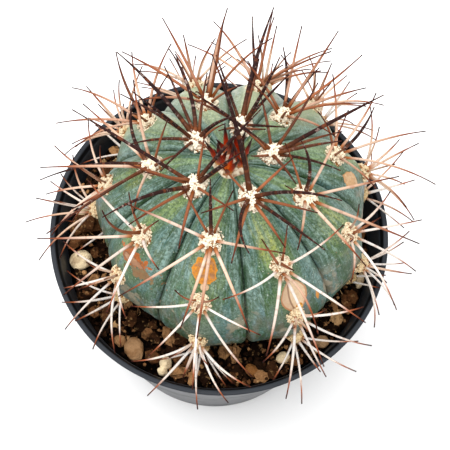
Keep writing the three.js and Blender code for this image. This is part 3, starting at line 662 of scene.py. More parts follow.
class Graph:
    """A node tree and short ways to add to it. A value is a number, a colour or another node's output."""

    def __init__(self, tree):
        self.tree = tree

    def fill(self, made, inputs):
        """Sets or links each input of a node, and gives the node's outputs."""
        for key, value in inputs.items():
            if isinstance(value, bpy.types.NodeSocket):
                self.tree.links.new(value, made.inputs[key])
            else:
                made.inputs[key].default_value = value
        return made.outputs

    def node(self, kind, inputs, **settings):
        """The outputs of a new node."""
        made = self.tree.nodes.new("ShaderNode" + kind)
        for name, value in settings.items():
            setattr(made, name, value)
        return self.fill(made, inputs)

    def group(self, name, inputs):
        """The outputs of a shared group, which is made when it is first asked for."""
        made = self.tree.nodes.new("ShaderNodeGroup")
        made.node_tree = bpy.data.node_groups.get(name) or new_group(name, *GROUPS[name])
        return self.fill(made, inputs)

    def calc(self, operation, a, b=0.0):
        """The result of a sum on two values."""
        return self.node("Math", {0: a, 1: b}, operation=operation)[0]

    def times(self, product, *more):
        """All the values multiplied."""
        for value in more:
            product = self.calc("MULTIPLY", product, value)
        return product

    def limit(self, value, low, high, to_low=0.0, to_high=1.0):
        """A value brought from low..high to to_low..to_high and kept there."""
        inputs = {0: value, 1: low, 2: high, 3: to_low, 4: to_high}
        return self.node("MapRange", inputs, interpolation_type="SMOOTHSTEP")[0]

    def mix(self, share, a, b):
        """Two colours mixed by a share."""
        return self.node("Mix", {0: share, 6: a, 7: b}, data_type="RGBA")[2]

    def ramp(self, value, *stops):
        """A colour ramp over the stops, each a position and a colour."""
        made = self.tree.nodes.new("ShaderNodeValToRGB")
        elements = made.color_ramp.elements
        while len(elements) < len(stops):
            elements.new(1.0)
        for element, (position, shade) in zip(elements, stops):
            element.position = position
            element.color = shade
        return self.fill(made, {0: value})[0]

    def mottle(self, where, scale, detail, low, high):
        """Cloudy patches over a place."""
        inputs = {"Vector": where, "Scale": scale, "Detail": detail, "Low": low, "High": high}
        return self.group("Mottle", inputs)["Share"]

    def specks(self, where, scale, size, kept):
        """Round specks over a place."""
        return self.group("Specks", {"Vector": where, "Scale": scale, "Size": size, "Kept": kept})["Share"]


def new_group(name, inputs, outputs, build):
    """A shader node group: its inputs with their defaults, numbers or vectors, and its outputs, all numbers."""
    tree = bpy.data.node_groups.new(name, "ShaderNodeTree")
    for label, default in inputs.items():
        kind = "NodeSocketFloat" if isinstance(default, float) else "NodeSocketVector"
        tree.interface.new_socket(name=label, in_out="INPUT", socket_type=kind).default_value = default
    for label in outputs:
        tree.interface.new_socket(name=label, in_out="OUTPUT", socket_type="NodeSocketFloat")
    entry = tree.nodes.new("NodeGroupInput").outputs
    leave = tree.nodes.new("NodeGroupOutput").inputs
    for label, result in zip(outputs, build(Graph(tree), entry)):
        tree.links.new(result, leave[label])
    return tree


def build_mottle(graph, entry):
    """Cloudy patches: layered noise brought between two levels."""
    noise = graph.node("TexNoise", {"Vector": entry["Vector"], "Scale": entry["Scale"],
                                    "Detail": entry["Detail"], "Roughness": 0.6})
    return [graph.limit(noise["Fac"], entry["Low"], entry["High"])]


def build_specks(graph, entry):
    """Round specks: the distance to scattered points, kept for some of them only."""
    cells = graph.node("TexVoronoi", {"Vector": entry["Vector"], "Scale": entry["Scale"]})
    chosen = graph.node("SeparateColor", {0: cells["Color"]})[0]
    size = graph.times(entry["Size"], graph.calc("ADD", 0.4, chosen))
    inside = graph.limit(cells["Distance"], graph.times(size, 0.5), size, 1.0, 0.0)
    return [graph.times(inside, graph.calc("LESS_THAN", chosen, entry["Kept"]))]


def build_relief(graph, entry):
    """Fine relief: coarse and fine noise added as heights."""
    heights = []
    for scale, share in (("Coarse", 1.0), ("Fine", 0.5)):
        noise = graph.node("TexNoise", {"Vector": entry["Vector"], "Scale": entry[scale], "Detail": 3.0})
        heights.append(graph.times(noise["Fac"], share))
    return [graph.calc("ADD", *heights)]


def build_patch(graph, entry):
    """A frayed patch round a centre, in the plane of two directions: a round or an almond pointed along the
    second one. It gives the inside, the rim, a soft halo, and a fold along the almond with the side left of it."""
    away = graph.node("VectorMath", {0: entry["Vector"], 1: entry["Centre"]}, operation="SUBTRACT")[0]
    side, rise, out = (graph.node("VectorMath", {0: away, 1: entry[way]}, operation="DOT_PRODUCT")["Value"]
                       for way in ("Right", "Up", "Out"))
    width, depth, squared = graph.calc("ABSOLUTE", side), graph.calc("ABSOLUTE", out), graph.times(rise, rise)
    beside = graph.calc("ADD", side, graph.times(graph.calc("SUBTRACT", 1.0, squared), 0.35))
    round_reach = graph.calc("SQRT", graph.calc("ADD", graph.times(width, width), squared))
    almond = graph.calc("ADD", width, squared)
    reach = graph.node("Mix", {0: entry["Pointed"], 2: round_reach, 3: almond})[0]
    reach = graph.calc("ADD", reach, graph.limit(depth, 0.8, 1.0, 0.0, 5.0))
    noise = graph.node("TexNoise", {"Vector": entry["Vector"], "Scale": 420.0, "Detail": 4.0})["Fac"]
    edge = graph.calc("ADD", reach, graph.times(graph.calc("SUBTRACT", noise, 0.5), entry["Fray"]))
    inside = graph.limit(edge, 0.93, 1.0, 1.0, 0.0)
    return [inside, graph.times(inside, graph.limit(edge, 0.8, 0.92)), graph.limit(edge, 0.6, 1.6, 1.0, 0.0),
            graph.limit(graph.calc("ABSOLUTE", beside), 0.02, 0.1, 1.0, 0.0),
            graph.limit(beside, -0.06, 0.06, 1.0, 0.0)]


ORIGIN = (0, 0, 0)
# The shared groups: their inputs, their outputs and what builds them.
GROUPS = {
    "Mottle": ({"Vector": ORIGIN, "Scale": 100.0, "Detail": 4.0, "Low": 0.4, "High": 0.6}, ["Share"], build_mottle),
    "Specks": ({"Vector": ORIGIN, "Scale": 300.0, "Size": 0.3, "Kept": 0.5}, ["Share"], build_specks),
    "Relief": ({"Vector": ORIGIN, "Coarse": 300.0, "Fine": 1500.0}, ["Height"], build_relief),
    "Patch": ({"Vector": ORIGIN, "Centre": ORIGIN, "Right": (1, 0, 0), "Up": (0, 0, 1), "Out": (0, 1, 0),
               "Pointed": 0.0, "Fray": 0.6}, ["Inside", "Rim", "Halo", "Fold", "Side"], build_patch),
}
PATCH_DEPTH = 9.0  # a patch on the skin reaches this far in and out


class Finish(Graph):
    """A material in the making, with the roughness and gloss of its shader. Shades go over its base in turn."""

    def __init__(self, name, roughness, gloss, base=None):
        self.material = bpy.data.materials.new(name)
        self.material.use_nodes = True
        super().__init__(self.material.node_tree)
        self.shader = self.tree.nodes["Principled BSDF"]
        self.feed({"Roughness": roughness, "Specular IOR Level": gloss})
        self.base = base

    @functools.cached_property
    def where(self):
        """The place on the object."""
        return self.node("TexCoord", {})["Object"]

    def feed(self, inputs):
        """Sets or links inputs of the shader."""
        self.fill(self.shader, inputs)

    def layer(self, name, output="Fac"):
        """A value kept at the mesh's points."""
        return self.node("Attribute", {}, attribute_name=name)[output]

    def over(self, shade, *shares):
        """Lays a shade over the base by the product of the shares."""
        self.base = self.mix(self.times(*shares), self.base, shade)

    def patch(self, polar, azimuth, wide, high, pointed, fray):
        """The shared patch laid on the stem at an angle from the apex and an azimuth, its half sizes in mm."""
        frame_there = areole_frame(polar, azimuth)
        return self.group("Patch", {
            "Vector": self.where, "Centre": tuple(frame_there["place"] * MM),
            "Right": tuple(frame_there["right"] / (wide * MM)), "Up": tuple(frame_there["up"] / (high * MM)),
            "Out": tuple(frame_there["normal"] / (PATCH_DEPTH * MM)), "Pointed": float(pointed), "Fray": fray,
        })

    def done(self, coarse, fine, depth):
        """Feeds the base and a fine relief, so many millimetres deep, to the shader and gives the material."""
        height = self.group("Relief", {"Vector": self.where, "Coarse": coarse, "Fine": fine})["Height"]
        bump = self.node("Bump", {"Height": height, "Distance": depth * MM, "Strength": 1.0})
        self.feed({"Base Color": self.base, "Normal": bump["Normal"]})
        return self.material


# ---- Materials ----

def plastic(settings):
    """Moulded dark plastic with dust on it and a fine orange-peel, and a painted shadow line, nearly black, on the
    outer face of the lip.
    """
    pot = Finish("pot_plastic", 0.5, 0.5, settings.colour)
    dust = pot.mottle(pot.where, 90, 8, 0.42, 0.72)
    pot.over(colour(62, 65, 70), dust, 0.3)
    pot.over(colour(140, 128, 112), pot.specks(pot.where, 520, 0.22, 0.3), 0.35)
    height = pot.calc("DIVIDE", pot.node("SeparateXYZ", {0: pot.where})["Z"], MM)
    # painted shadow: the outer face of the lip, below its top, is painted nearly black, like the shade under the lip
    painted_shadow_line = pot.limit(height, LIP_UNDERSIDE - 0.3, LIP_UNDERSIDE)
    below_top = pot.limit(height, POT_HEIGHT - 0.7, POT_HEIGHT - 0.3, 1.0, 0.0)
    pot.over(colour(5, 5, 6), pot.times(painted_shadow_line, below_top), 0.9)
    pot.feed({"Specular IOR Level": pot.limit(height, LIP_UNDERSIDE - 0.6, LIP_UNDERSIDE - 0.1, 0.42, 0.1),
              "Roughness": pot.limit(dust, 0.0, 1.0, 0.44, 0.55)})
    return pot.done(500, 1900, 0.05)


def peat(settings):
    """Damp peat with brown crumbs, nearly black: partly its own dark colour and partly painted shade for the gaps
    between the chips.
    """
    soil = Finish("soil_peat", 0.9, 0.02, settings.dark)
    soil.over(colour(50, 32, 21), soil.mottle(soil.where, 260, 6, 0.45, 0.66))
    return soil.done(600, 2200, 0.6)


def bark(settings):
    """Bark and crumbs: dark or light by the piece, with dark and pale worn flecks."""
    soil = Finish("soil_bark", 0.85, 0.03)
    soil.base = soil.ramp(soil.layer("tone"), (0.0, colour(8, 5, 3)), (0.25, colour(48, 28, 17)),
                          (0.5, colour(116, 74, 44)), (0.82, settings.bark), (1.0, colour(232, 192, 138)))
    soil.over(colour(34, 20, 12), soil.mottle(soil.where, 420, 6, 0.46, 0.66), 0.65)
    soil.over(colour(206, 160, 106), soil.mottle(soil.where, 700, 3, 0.56, 0.66), 0.4)
    return soil.done(900, 2600, 0.6)


def stone_finish(settings):
    """Cream to brown stone with stains and pits, and a dark dot on one of them."""
    stone = Finish("loose_stone", 0.75, 0.1, settings.colour)
    stone.over(colour(150, 98, 50), stone.layer("tone"))
    stone.over(colour(132, 88, 48), stone.mottle(stone.where, 300, 7, 0.42, 0.66), 0.6)
    stone.over(colour(90, 62, 40), stone.specks(stone.where, 800, 0.3, 0.35), 0.6)
    stone.over(colour(70, 46, 30), stone.layer("chance"))
    return stone.done(600, 2000, 0.7)


# Corky scars: angle from the apex, azimuth, half width and half height, how pointed, fray, relief, how much
# the rim's colour blotches the inside, and the colours of the inside and the rim, from 0 to 255.
SCARS = [
    (46.0, 259.5, 4.1, 5.0, 0, 0.7, 0.25, 0.85, (190, 136, 90), (240, 154, 40)),
    (53.2, 261.0, 1.5, 1.5, 0, 0.5, 0.7, 0.3, (246, 214, 176), (214, 164, 110)),
    (64.8, 302.5, 5.0, 8.2, 1, 0.12, -0.35, 0.06, (250, 218, 178), (188, 116, 62)),
    (72.0, 303.6, 1.3, 1.3, 0, 0.8, 0.5, 0.6, (246, 190, 60), (224, 130, 30)),
    (59.5, 222.0, 6.0, 3.6, 0, 1.9, 0.05, 0.8, (146, 98, 58), (206, 108, 36)),
    (61.0, 223.0, 4.4, 1.6, 0, 1.4, 0.0, 0.35, (200, 150, 112), (120, 70, 42)),
    (65.5, 229.0, 4.4, 2.4, 0, 5.5, 0.0, 0.7, (140, 122, 84), (150, 106, 66)),
    (60.2, 8.5, 2.6, 5.2, 1, 0.7, 0.2, 0.4, (232, 196, 150), (206, 140, 76)),
    (76.0, 314.0, 0.8, 3.0, 1, 0.9, 0.2, 0.9, (236, 160, 70), (224, 136, 30)),
]
# Soft tints of the skin: angle from the apex, azimuth, half width, half height, strength and colour.
TINTS = [
    (38.0, 298.0, 3.0, 6.0, 0.95, (184, 190, 92)),
    (30.0, 295.5, 2.6, 4.0, 0.6, (184, 186, 104)),
    (46.0, 260.0, 5.6, 6.6, 0.55, (112, 120, 62)),
    (52.0, 222.0, 7.0, 5.0, 0.45, (150, 150, 92)),
    (27.0, 335.0, 3.4, 5.5, 0.6, (158, 182, 108)),
    (30.0, 225.0, 3.4, 5.5, 0.6, (156, 180, 108)),
    (40.0, 186.0, 4.0, 5.0, 0.7, (168, 178, 96)),
    (24.0, 20.0, 4.0, 5.0, 0.6, (156, 190, 128)),
    (70.0, 190.0, 5.0, 8.0, 0.5, (120, 132, 88)),
    (50.0, 338.5, 3.6, 6.5, 0.85, (204, 206, 124)),
    (49.0, 248.0, 3.0, 6.0, 0.55, (166, 180, 152)),
    (70.0, 283.0, 4.5, 6.0, 0.4, (84, 112, 70)),
    # painted light: these five rows pale the back and sides of the upper stem, as if lit from behind
    (24.0, 100.0, 6.0, 6.0, 0.4, (150, 176, 128)),
    (40.0, 80.0, 15.0, 13.0, 1.0, (224, 230, 186)),
    (40.0, 120.0, 15.0, 13.0, 1.0, (224, 230, 186)),
    (40.0, 165.0, 7.0, 9.0, 0.55, (164, 188, 136)),
    (42.0, 18.0, 7.0, 9.0, 0.55, (164, 188, 136)),
    (78.0, 285.0, 5.0, 3.5, 0.45, (150, 140, 120)),
    (84.0, 250.0, 6.0, 3.0, 0.45, (156, 142, 120)),
    (86.0, 232.0, 6.0, 4.0, 0.5, (160, 140, 116)),
]

def stem_skin(settings):
    """Waxy blue-green skin: crest, flank and groove, with painted shade on the flanks and in the grooves and painted
    highlights beside them, then bloom in streaks that run down the ribs with a painted sheen in its fine threads,
    tints with painted light on the back, grain, specks and scars. Across is 0 on a crest and 1 in a groove, and low
    is 0 above and 1 below."""
    skin = Finish("stem_skin", 0.5, 0.2, settings.crest)
    limit, mottle, over, times = skin.limit, skin.mottle, skin.over, skin.times
    where, across, low, flow = skin.where, skin.layer("along"), skin.layer("tone"), skin.layer("flow", "Vector")
    clouds, grainy = mottle(where, 75, 7, 0.3, 0.7), mottle(where, 950, 5, 0.4, 0.62)
    rubbed, veins = mottle(flow, 210, 10, 0.47, 0.55), mottle(flow, 520, 8, 0.44, 0.58)
    edge = skin.calc("ADD", across, times(skin.calc("SUBTRACT", clouds, 0.5), 0.6))
    over(colour(112, 132, 112), limit(low, 0.4, 0.8))
    # painted shade: the flanks painted darker than the crests
    over(settings.flank, limit(edge, 0.1, 0.6))
    clouded = skin.calc("ADD", 0.35, times(clouds, 0.65))
    for polar, azimuth, wide, high, strength, shade in TINTS:
        halo = skin.patch(polar, azimuth, wide, high, 0, 1.4)["Halo"]
        over(colour(*shade), halo, clouded, strength)
    # painted shade: broad dark green beside the grooves on the upper half
    over(colour(36, 70, 50), limit(edge, 0.6, 1.0, 0.0, 0.6), limit(low, 0.3, 0.7, 1.0, 0.3))
    chalk = skin.mix(limit(low, 0.3, 0.75), colour(156, 182, 164), settings.bloom)
    over(chalk, skin.calc("ADD", 0.2, times(veins, 0.8)), times(rubbed, limit(low, 0.0, 0.7, 0.6, 0.9)))
    over(colour(100, 142, 146), mottle(flow, 130, 8, 0.52, 0.57), limit(across, 0.1, 0.5, 0.2, 0.55))
    over(colour(76, 110, 58), mottle(flow, 170, 9, 0.52, 0.58), limit(low, 0.5, 0.9, 0.55, 0.25))
    # partly painted sheen: fine pale threads of bloom along the ribs, also standing in for the skin's soft highlights
    threads_and_sheen = times(mottle(flow, 1100, 6, 0.5, 0.6), limit(across, 0.15, 0.7, 0.1, 0.52))
    over(colour(170, 200, 196), threads_and_sheen, limit(low, 0.4, 0.8, 1.0, 0.5))
    # partly painted highlight: a pale line of bloom on each groove's shoulder, painted lighter as if catching the light
    shoulder_bloom_and_highlight = times(limit(across, 0.62, 0.8), limit(across, 0.86, 0.94, 1.0, 0.0))
    over(colour(150, 182, 172), shoulder_bloom_and_highlight, skin.calc("ADD", 0.2, times(veins, 0.7)), limit(low, 0.4, 0.8, 1.0, 0.3))
    # painted shade: a thin dark line in each groove
    over(settings.groove, limit(across, 0.965, 0.99))
    over(colour(76, 96, 72), mottle(where, 150, 9, 0.5, 0.6), limit(low, 0.4, 0.8, 0.1, 0.55))
    over(colour(50, 76, 46), grainy, 0.56)
    over(colour(186, 204, 190), mottle(where, 2100, 3, 0.5, 0.6), 0.16)
    over(colour(42, 64, 42), mottle(where, 1400, 4, 0.54, 0.64), 0.55)
    # painted light: the back of the stem, further along y, is painted paler, as if lit from behind
    painted_backlight_y = skin.node("SeparateXYZ", {0: where})["Y"]
    over(colour(208, 218, 178), limit(painted_backlight_y, 0.008, 0.034, 0.0, 0.6), limit(across, 0.1, 0.8, 1.0, 0.35))
    over(colour(128, 112, 86), times(rubbed, clouds), limit(low, 0.6, 0.95, 0.0, 0.75))
    over(colour(162, 152, 128), mottle(where, 120, 9, 0.55, 0.6), limit(low, 0.45, 0.8, 0.0, 0.85))
    for scale, size, kept, strength, shade in (
            (820, 0.3, 0.34, 0.85, (206, 218, 200)), (1300, 0.3, 0.3, 0.6, (172, 196, 188)),
            (560, 0.2, 0.3, 0.7, (34, 46, 30)), (480, 0.2, 0.12, 0.8, (222, 214, 176)),
            (360, 0.26, 0.1, 0.45, (150, 96, 52))):
        over(colour(*shade), skin.specks(where, scale, size, kept), strength)
    bright = mottle(where, 450, 6, 0.38, 0.54)
    for polar, azimuth, wide, high, pointed, fray, relief, blotch, inner, rim in SCARS:
        patch, rim = skin.patch(polar, azimuth, wide, high, pointed, fray), colour(*rim)
        cork = skin.mix(times(bright, blotch), colour(*inner), rim)
        cork = skin.mix(times(grainy, 0.08 + 0.34 * blotch), cork, colour(116, 74, 46))
        # painted light and shade on the hollow almond: the side left of its fold painted paler, as if lit, and the fold
        # painted dark, as the shade in its crease
        if relief < 0:
            cork = skin.mix(times(patch["Side"], 0.4), cork, colour(190, 150, 124))
            cork = skin.mix(times(patch["Fold"], 0.7), cork, colour(120, 76, 50))
        over(cork, patch["Inside"])
        over(rim, patch["Rim"], 0.8)
    skin.feed({"Roughness": limit(veins, 0.0, 1.0, 0.36, 0.6)})
    return skin.done(480, 1700, 0.2)


def spine_finish(settings):
    """Spines: dark young ones, warm upper ones and bone-white old ones, by tone, each with a brown foot, a
    darker tip and bands round it."""
    horn = Finish("spine_horn", 0.6, 0.07)
    limit, over, times = horn.limit, horn.over, horn.times
    along, tone, chance = (horn.layer(name) for name in Skin.LAYERS)
    foot, tip = (0.0, colour(108, 58, 22)), settings.tip
    horn.base = horn.ramp(along, foot, (0.1, colour(100, 58, 38)), (0.26, settings.young),
                          (0.8, colour(54, 28, 25)), (1.0, tip))
    warm = horn.ramp(along, foot, (0.07, colour(138, 74, 32)), (0.2, settings.warm), (0.6, colour(160, 94, 62)),
                     (0.82, colour(104, 50, 34)), (0.95, tip))
    pink = horn.ramp(along, foot, (0.07, colour(190, 118, 70)), (0.18, colour(250, 222, 198)),
                     (0.5, colour(230, 188, 158)), (0.72, colour(156, 84, 52)), (0.92, tip))
    bone = horn.ramp(along, foot, (0.06, colour(206, 150, 104)), (0.16, settings.bone),
                     (0.62, colour(252, 236, 222)), (0.78, colour(176, 98, 62)), (0.95, tip))
    over(warm, limit(tone, 0.12, 0.36))
    over(pink, limit(tone, 0.42, 0.68))
    over(bone, limit(tone, 0.74, 0.96))
    place = horn.calc("ADD", times(along, 15.0), times(chance, 90.0))
    rings = horn.node("TexNoise", {"W": place, "Scale": 1.0, "Detail": 3.0}, noise_dimensions="1D")["Fac"]
    bands = times(limit(rings, 0.52, 0.66), horn.mottle(horn.where, 900, 4, 0.5, 0.62))
    over(colour(196, 168, 156), bands, limit(tone, 0.04, 0.4, 0.62, 0.0))
    over(colour(168, 92, 54), limit(rings, 0.3, 0.42, 1.0, 0.0), limit(tone, 0.3, 0.8, 0.35, 0.3))
    horn.base = horn.node("HueSaturation", {"Color": horn.base, "Value": limit(chance, 0.0, 1.0, 0.86, 1.1)})[0]
    return horn.done(1200, 3000, 0.08)


def wool_finish(settings):
    """Wool: pale crumbs over darker ochre hollows, partly the wool's own brown felt and partly painted shade, browner
    on old areoles.
    """
    wool = Finish("areole_wool", 0.95, 0.04, settings.deep)
    height, age = wool.layer("along"), wool.layer("tone")
    worn = wool.mix(age, settings.fresh, settings.old)
    brown = wool.times(wool.mottle(wool.where, 600, 5, 0.5, 0.72), wool.limit(age, 0.0, 1.0, 0.15, 0.7))
    # the low parts keep the darker hollow colour, partly as painted shade between the crumbs
    wool.over(wool.mix(brown, worn, colour(204, 150, 70, NOOK_LIGHT)), wool.limit(height, 0.2, 0.62))
    return wool.done(1500, 4000, 0.2)


def crown_finish():
    """New spines: glowing orange-red at the base and nearly black above."""
    horn = Finish("crown_spines", 0.3, 0.4)
    horn.base = horn.ramp(horn.layer("along"), (0.0, colour(252, 228, 176)), (0.16, colour(244, 150, 56)),
                          (0.36, colour(228, 70, 18)), (0.58, colour(150, 40, 20)), (0.76, colour(44, 22, 20)),
                          (1.0, colour(54, 28, 24)))
    return horn.done(1200, 3000, 0.08)


# ---- Pot ----

def arc(middle, radius, start, end, steps=5):
    """Points of an arc in the profile's plane."""
    angle = np.radians(np.linspace(start, end, steps))
    return np.stack([middle[0] + radius * np.cos(angle), middle[1] + radius * np.sin(angle)], -1)


def pot_profile(rounding):
    """Radius and height from the underside's middle, up the outside, over the lip and down the inside."""
    under = RIM_RADIUS - LIP_OVERHANG
    inner = RIM_RADIUS - LIP_WIDTH
    flare = under - WALL_INSET - FOOT_RADIUS
    round_foot = FOOT_RADIUS - FOOT_ROUNDING
    pieces = [
        [[FOOT_RADIUS * share, 0] for share in (0.2, 0.5, 0.8)],
        [[FOOT_RADIUS - 4 * FOOT_ROUNDING, 0.0], [round_foot, 0.0]],
        arc((round_foot, FOOT_ROUNDING), FOOT_ROUNDING, -90, -8),
        [[FOOT_RADIUS + flare * share, FOOT_ROUNDING + WALL_END * share] for share in (0.3, 0.6, 1)],
        [[under - 0.1, LIP_UNDERSIDE - 0.12], [RIM_RADIUS - 0.55, LIP_UNDERSIDE + 0.02]],
        [[RIM_RADIUS - 0.32, LIP_UNDERSIDE + 0.12], [RIM_RADIUS - 0.3, LIP_UNDERSIDE + 0.4]],
        [[RIM_RADIUS - 0.15, LIP_UNDERSIDE + LIP_DEPTH / 2]],
        arc((RIM_RADIUS - rounding, POT_HEIGHT - rounding), rounding, 0, 90),
        arc((inner + rounding, POT_HEIGHT - rounding), rounding, 90, 180),
        [[inner - 0.25, POT_HEIGHT - 1.0], [under - 0.4 - WALL, LIP_UNDERSIDE - 0.6],
         [under - WALL_INSET - WALL, WALL_END]],
        [[FOOT_RADIUS - WALL + flare * share, WALL + (WALL_END - WALL) * share] for share in (0.7, 0.35, 0)],
        [[(FOOT_RADIUS - WALL) * share, WALL] for share in (0.8, 0.5, 0.2)],
    ]
    return np.vstack([np.asarray(piece, dtype=float) for piece in pieces])


def lathe(profile, sides, low, high):
    """The profile turned round an upright axis, with a point on the axis at each end."""
    angle = around(sides)
    radius, height = profile[:, :1], profile[:, 1:]
    points = np.stack([radius * np.cos(angle), radius * np.sin(angle), height + 0 * angle], -1).reshape(-1, 3)
    points = np.vstack([points, [[0, 0, low], [0, 0, high]]])
    return points, *closed_rings(len(profile), sides)


def drill(piece, material):
    """Cuts the drain holes through the pot's floor."""
    reach = WALL * 1.5
    profile = np.array([[DRAIN_RADIUS, -reach], [DRAIN_RADIUS, reach + WALL]])
    points, quads, triangles = lathe(profile, 32, -reach, reach + WALL)
    skin = Skin()
    for i in range(DRAIN_HOLES):
        turn = 2 * math.pi * (i + 0.5) / DRAIN_HOLES
        skin.add(points + [DRAIN_CIRCLE * math.cos(turn), DRAIN_CIRCLE * math.sin(turn), 0], quads, triangles)
    cutter = skin.build("drill", [material])
    cut = piece.modifiers.new("Drain holes", "BOOLEAN")
    cut.operation = "DIFFERENCE"
    cut.solver = "EXACT"
    cut.object = cutter
    drilled = piece.evaluated_get(bpy.context.evaluated_depsgraph_get())
    cut_mesh = bpy.data.meshes.new_from_object(drilled)
    piece.modifiers.clear()
    piece.data = cut_mesh
    bpy.data.objects.remove(cutter)


class MakePot(bpy.types.Operator):
    """Turns the pot with its rounded lip and drain holes"""
    bl_idname = "cactus.make_pot"
    bl_label = "Pot"

    def execute(self, context):
        settings = context.scene.cactus_pot
        material = plastic(settings)
        shell = lathe(pot_profile(settings.lip_rounding / MM), settings.sides, 0.0, WALL)
        piece = Skin(*shell).build("pot_shell", [material])
        drill(piece, material)
        place_piece(piece, "pot", "pot")
        return {"FINISHED"}


# ---- Soil and stones ----

# Loose bark lies heaped against the wall on one side: its middle's azimuth, where its ends begin and stop as
# angles from there, how far out it starts and is full, and its height.
HEAP_AZIMUTH = 147
HEAP_ENDS = (46, 28)
HEAP_SLOPE = (43, 51)
HEAP_RISE = 6.0
BARE_RADIUS = 33  # the stem hides the soil within this
BITS_RADIUS = 53.4
WALL_LIGHT_SLOPE = (44, 51)  # painted light: the bits are painted paler from here to there, as if lit where the wall shades them
LUMP_HEIGHT = 0.9
SOIL_SIDES = 220
SOIL_RINGS = 56


def soil_inner_radius(z):
    """The radius that the soil fills at a height."""
    foot = FOOT_RADIUS - WALL
    top = RIM_RADIUS - LIP_OVERHANG - WALL_INSET - WALL
    return foot + (top - foot) * (z - WALL) / (WALL_END - WALL) - GAP


def past_stones(x, y, stones):
    """How far places lie outside the reach of the nearest stone."""
    return np.min([np.hypot(x - stone["middle"][0], y - stone["middle"][1]) - stone["reach"] for stone in stones], 0)


def heap(x, y):
    """How much of the bark heap lies at a place: full by the wall on its side, nothing further in, beyond its
    ends or round a stone."""
    off = np.cos(np.arctan2(y, x) - math.radians(HEAP_AZIMUTH))
    share = smooth(np.hypot(x, y), *HEAP_SLOPE) * smooth(off, *(math.cos(math.radians(end)) for end in HEAP_ENDS))
    for stone in list_stones():
        share = share * smooth(past_stones(x, y, [stone]), -0.5, 2.5)
    return share


def heaped_height(x, y):
    """The soil's height with the heap on it."""
    return soil_height(x, y) + HEAP_RISE * heap(x, y)


def soil_bed():
    """A disc of peat over radius and angle, its level waved and lumpy, with its side and underside."""
    bottom = WALL + GAP
    edge = soil_inner_radius(SOIL_LEVEL)
    radii = np.concatenate([[soil_inner_radius(bottom) - 0.3, edge], np.linspace(edge - 0.5, 1.5, SOIL_RINGS)])
    angle = around(SOIL_SIDES)
    x, y = radii[:, None] * np.cos(angle), radii[:, None] * np.sin(angle)
    flat = np.stack([x, y, 0 * x], -1)
    lumps = LUMP_HEIGHT * layered(flat, 3.2, 3, seed=3) + 0.45 * np.abs(grain(flat, 1.1, seed=9))
    height = heaped_height(x, y) + lumps - LUMP_HEIGHT
    height[0] = bottom
    height[1] = SOIL_LEVEL - 2.5
    points = np.stack([x, y, height], -1).reshape(-1, 3)
    points = np.vstack([points, [[0, 0, bottom], [0, 0, SOIL_LEVEL - 1]]])
    return Skin(points, *closed_rings(len(radii), SOIL_SIDES))


def ring_places(random, count, inner, outer):
    """Places spread evenly over a ring."""
    radius = np.sqrt(random.uniform(inner ** 2, outer ** 2, count))
    angle = random.uniform(0, 2 * np.pi, count)
    return radius * np.cos(angle), radius * np.sin(angle)


def turns(random, count, tilt):
    """Random turns about the vertical after a small tilt about a level axis."""
    spin, lean, way = random.uniform(0, 360, count), random.normal(0, tilt, count), random.uniform(0, 360, count)
    return np.array([about("z", w) @ about("x", t) @ about("z", s) for s, t, w in zip(spin, lean, way)])


def lumps_of(random, count, shape, sizes, places, tilt, roughness):
    """Copies of a round, each with its points pushed in and out, sized, turned and placed."""
    points, quads, triangles = shape
    push = 1 + roughness * random.uniform(-1, 1, (count, len(points), 1))
    squared = np.sign(points) * np.abs(points) ** 0.75
    sized = squared[None] * push * sizes[:, None] / 2
    placed = np.einsum("nij,npj->npi", turns(random, count, tilt), sized) + places[:, None]
    return placed, quads, triangles


# How the chips and the crumbs lie. Widths and heights are shares of the length, growth and on_heap are for the heap.
# The share by the wall is painted light: how much paler the bits near the wall are painted, against the wall's shade.
STREWN = {
    "bark_chips": {
        "seed": 21, "radius": 53.5, "margin": 1.0, "lengths": (2.2, 7.4), "growth": 0.45, "widths": (0.45, 0.8),
        "heights": (0.25, 0.5), "sunk": 0.5, "rise": 0.3, "stray": (-0.7, 1.0), "shape": (4, 7), "tilt": 24,
        "roughness": 0.3, "tones": (1.1, 2.0), "painted_light_by_wall": 0.05, "on_heap": 0.2},
    "soil_crumbs": {
        "seed": 22, "radius": BITS_RADIUS, "margin": 0.2, "lengths": (0.6, 2.0), "growth": 0, "widths": (0.6, 1),
        "heights": (0.5, 0.9), "sunk": 0.1, "rise": 0, "stray": (-0.5, 0.9), "shape": (3, 5), "tilt": 40,
        "roughness": 0.28, "tones": (0.9, 2.4), "painted_light_by_wall": 0.08, "on_heap": 0},
}


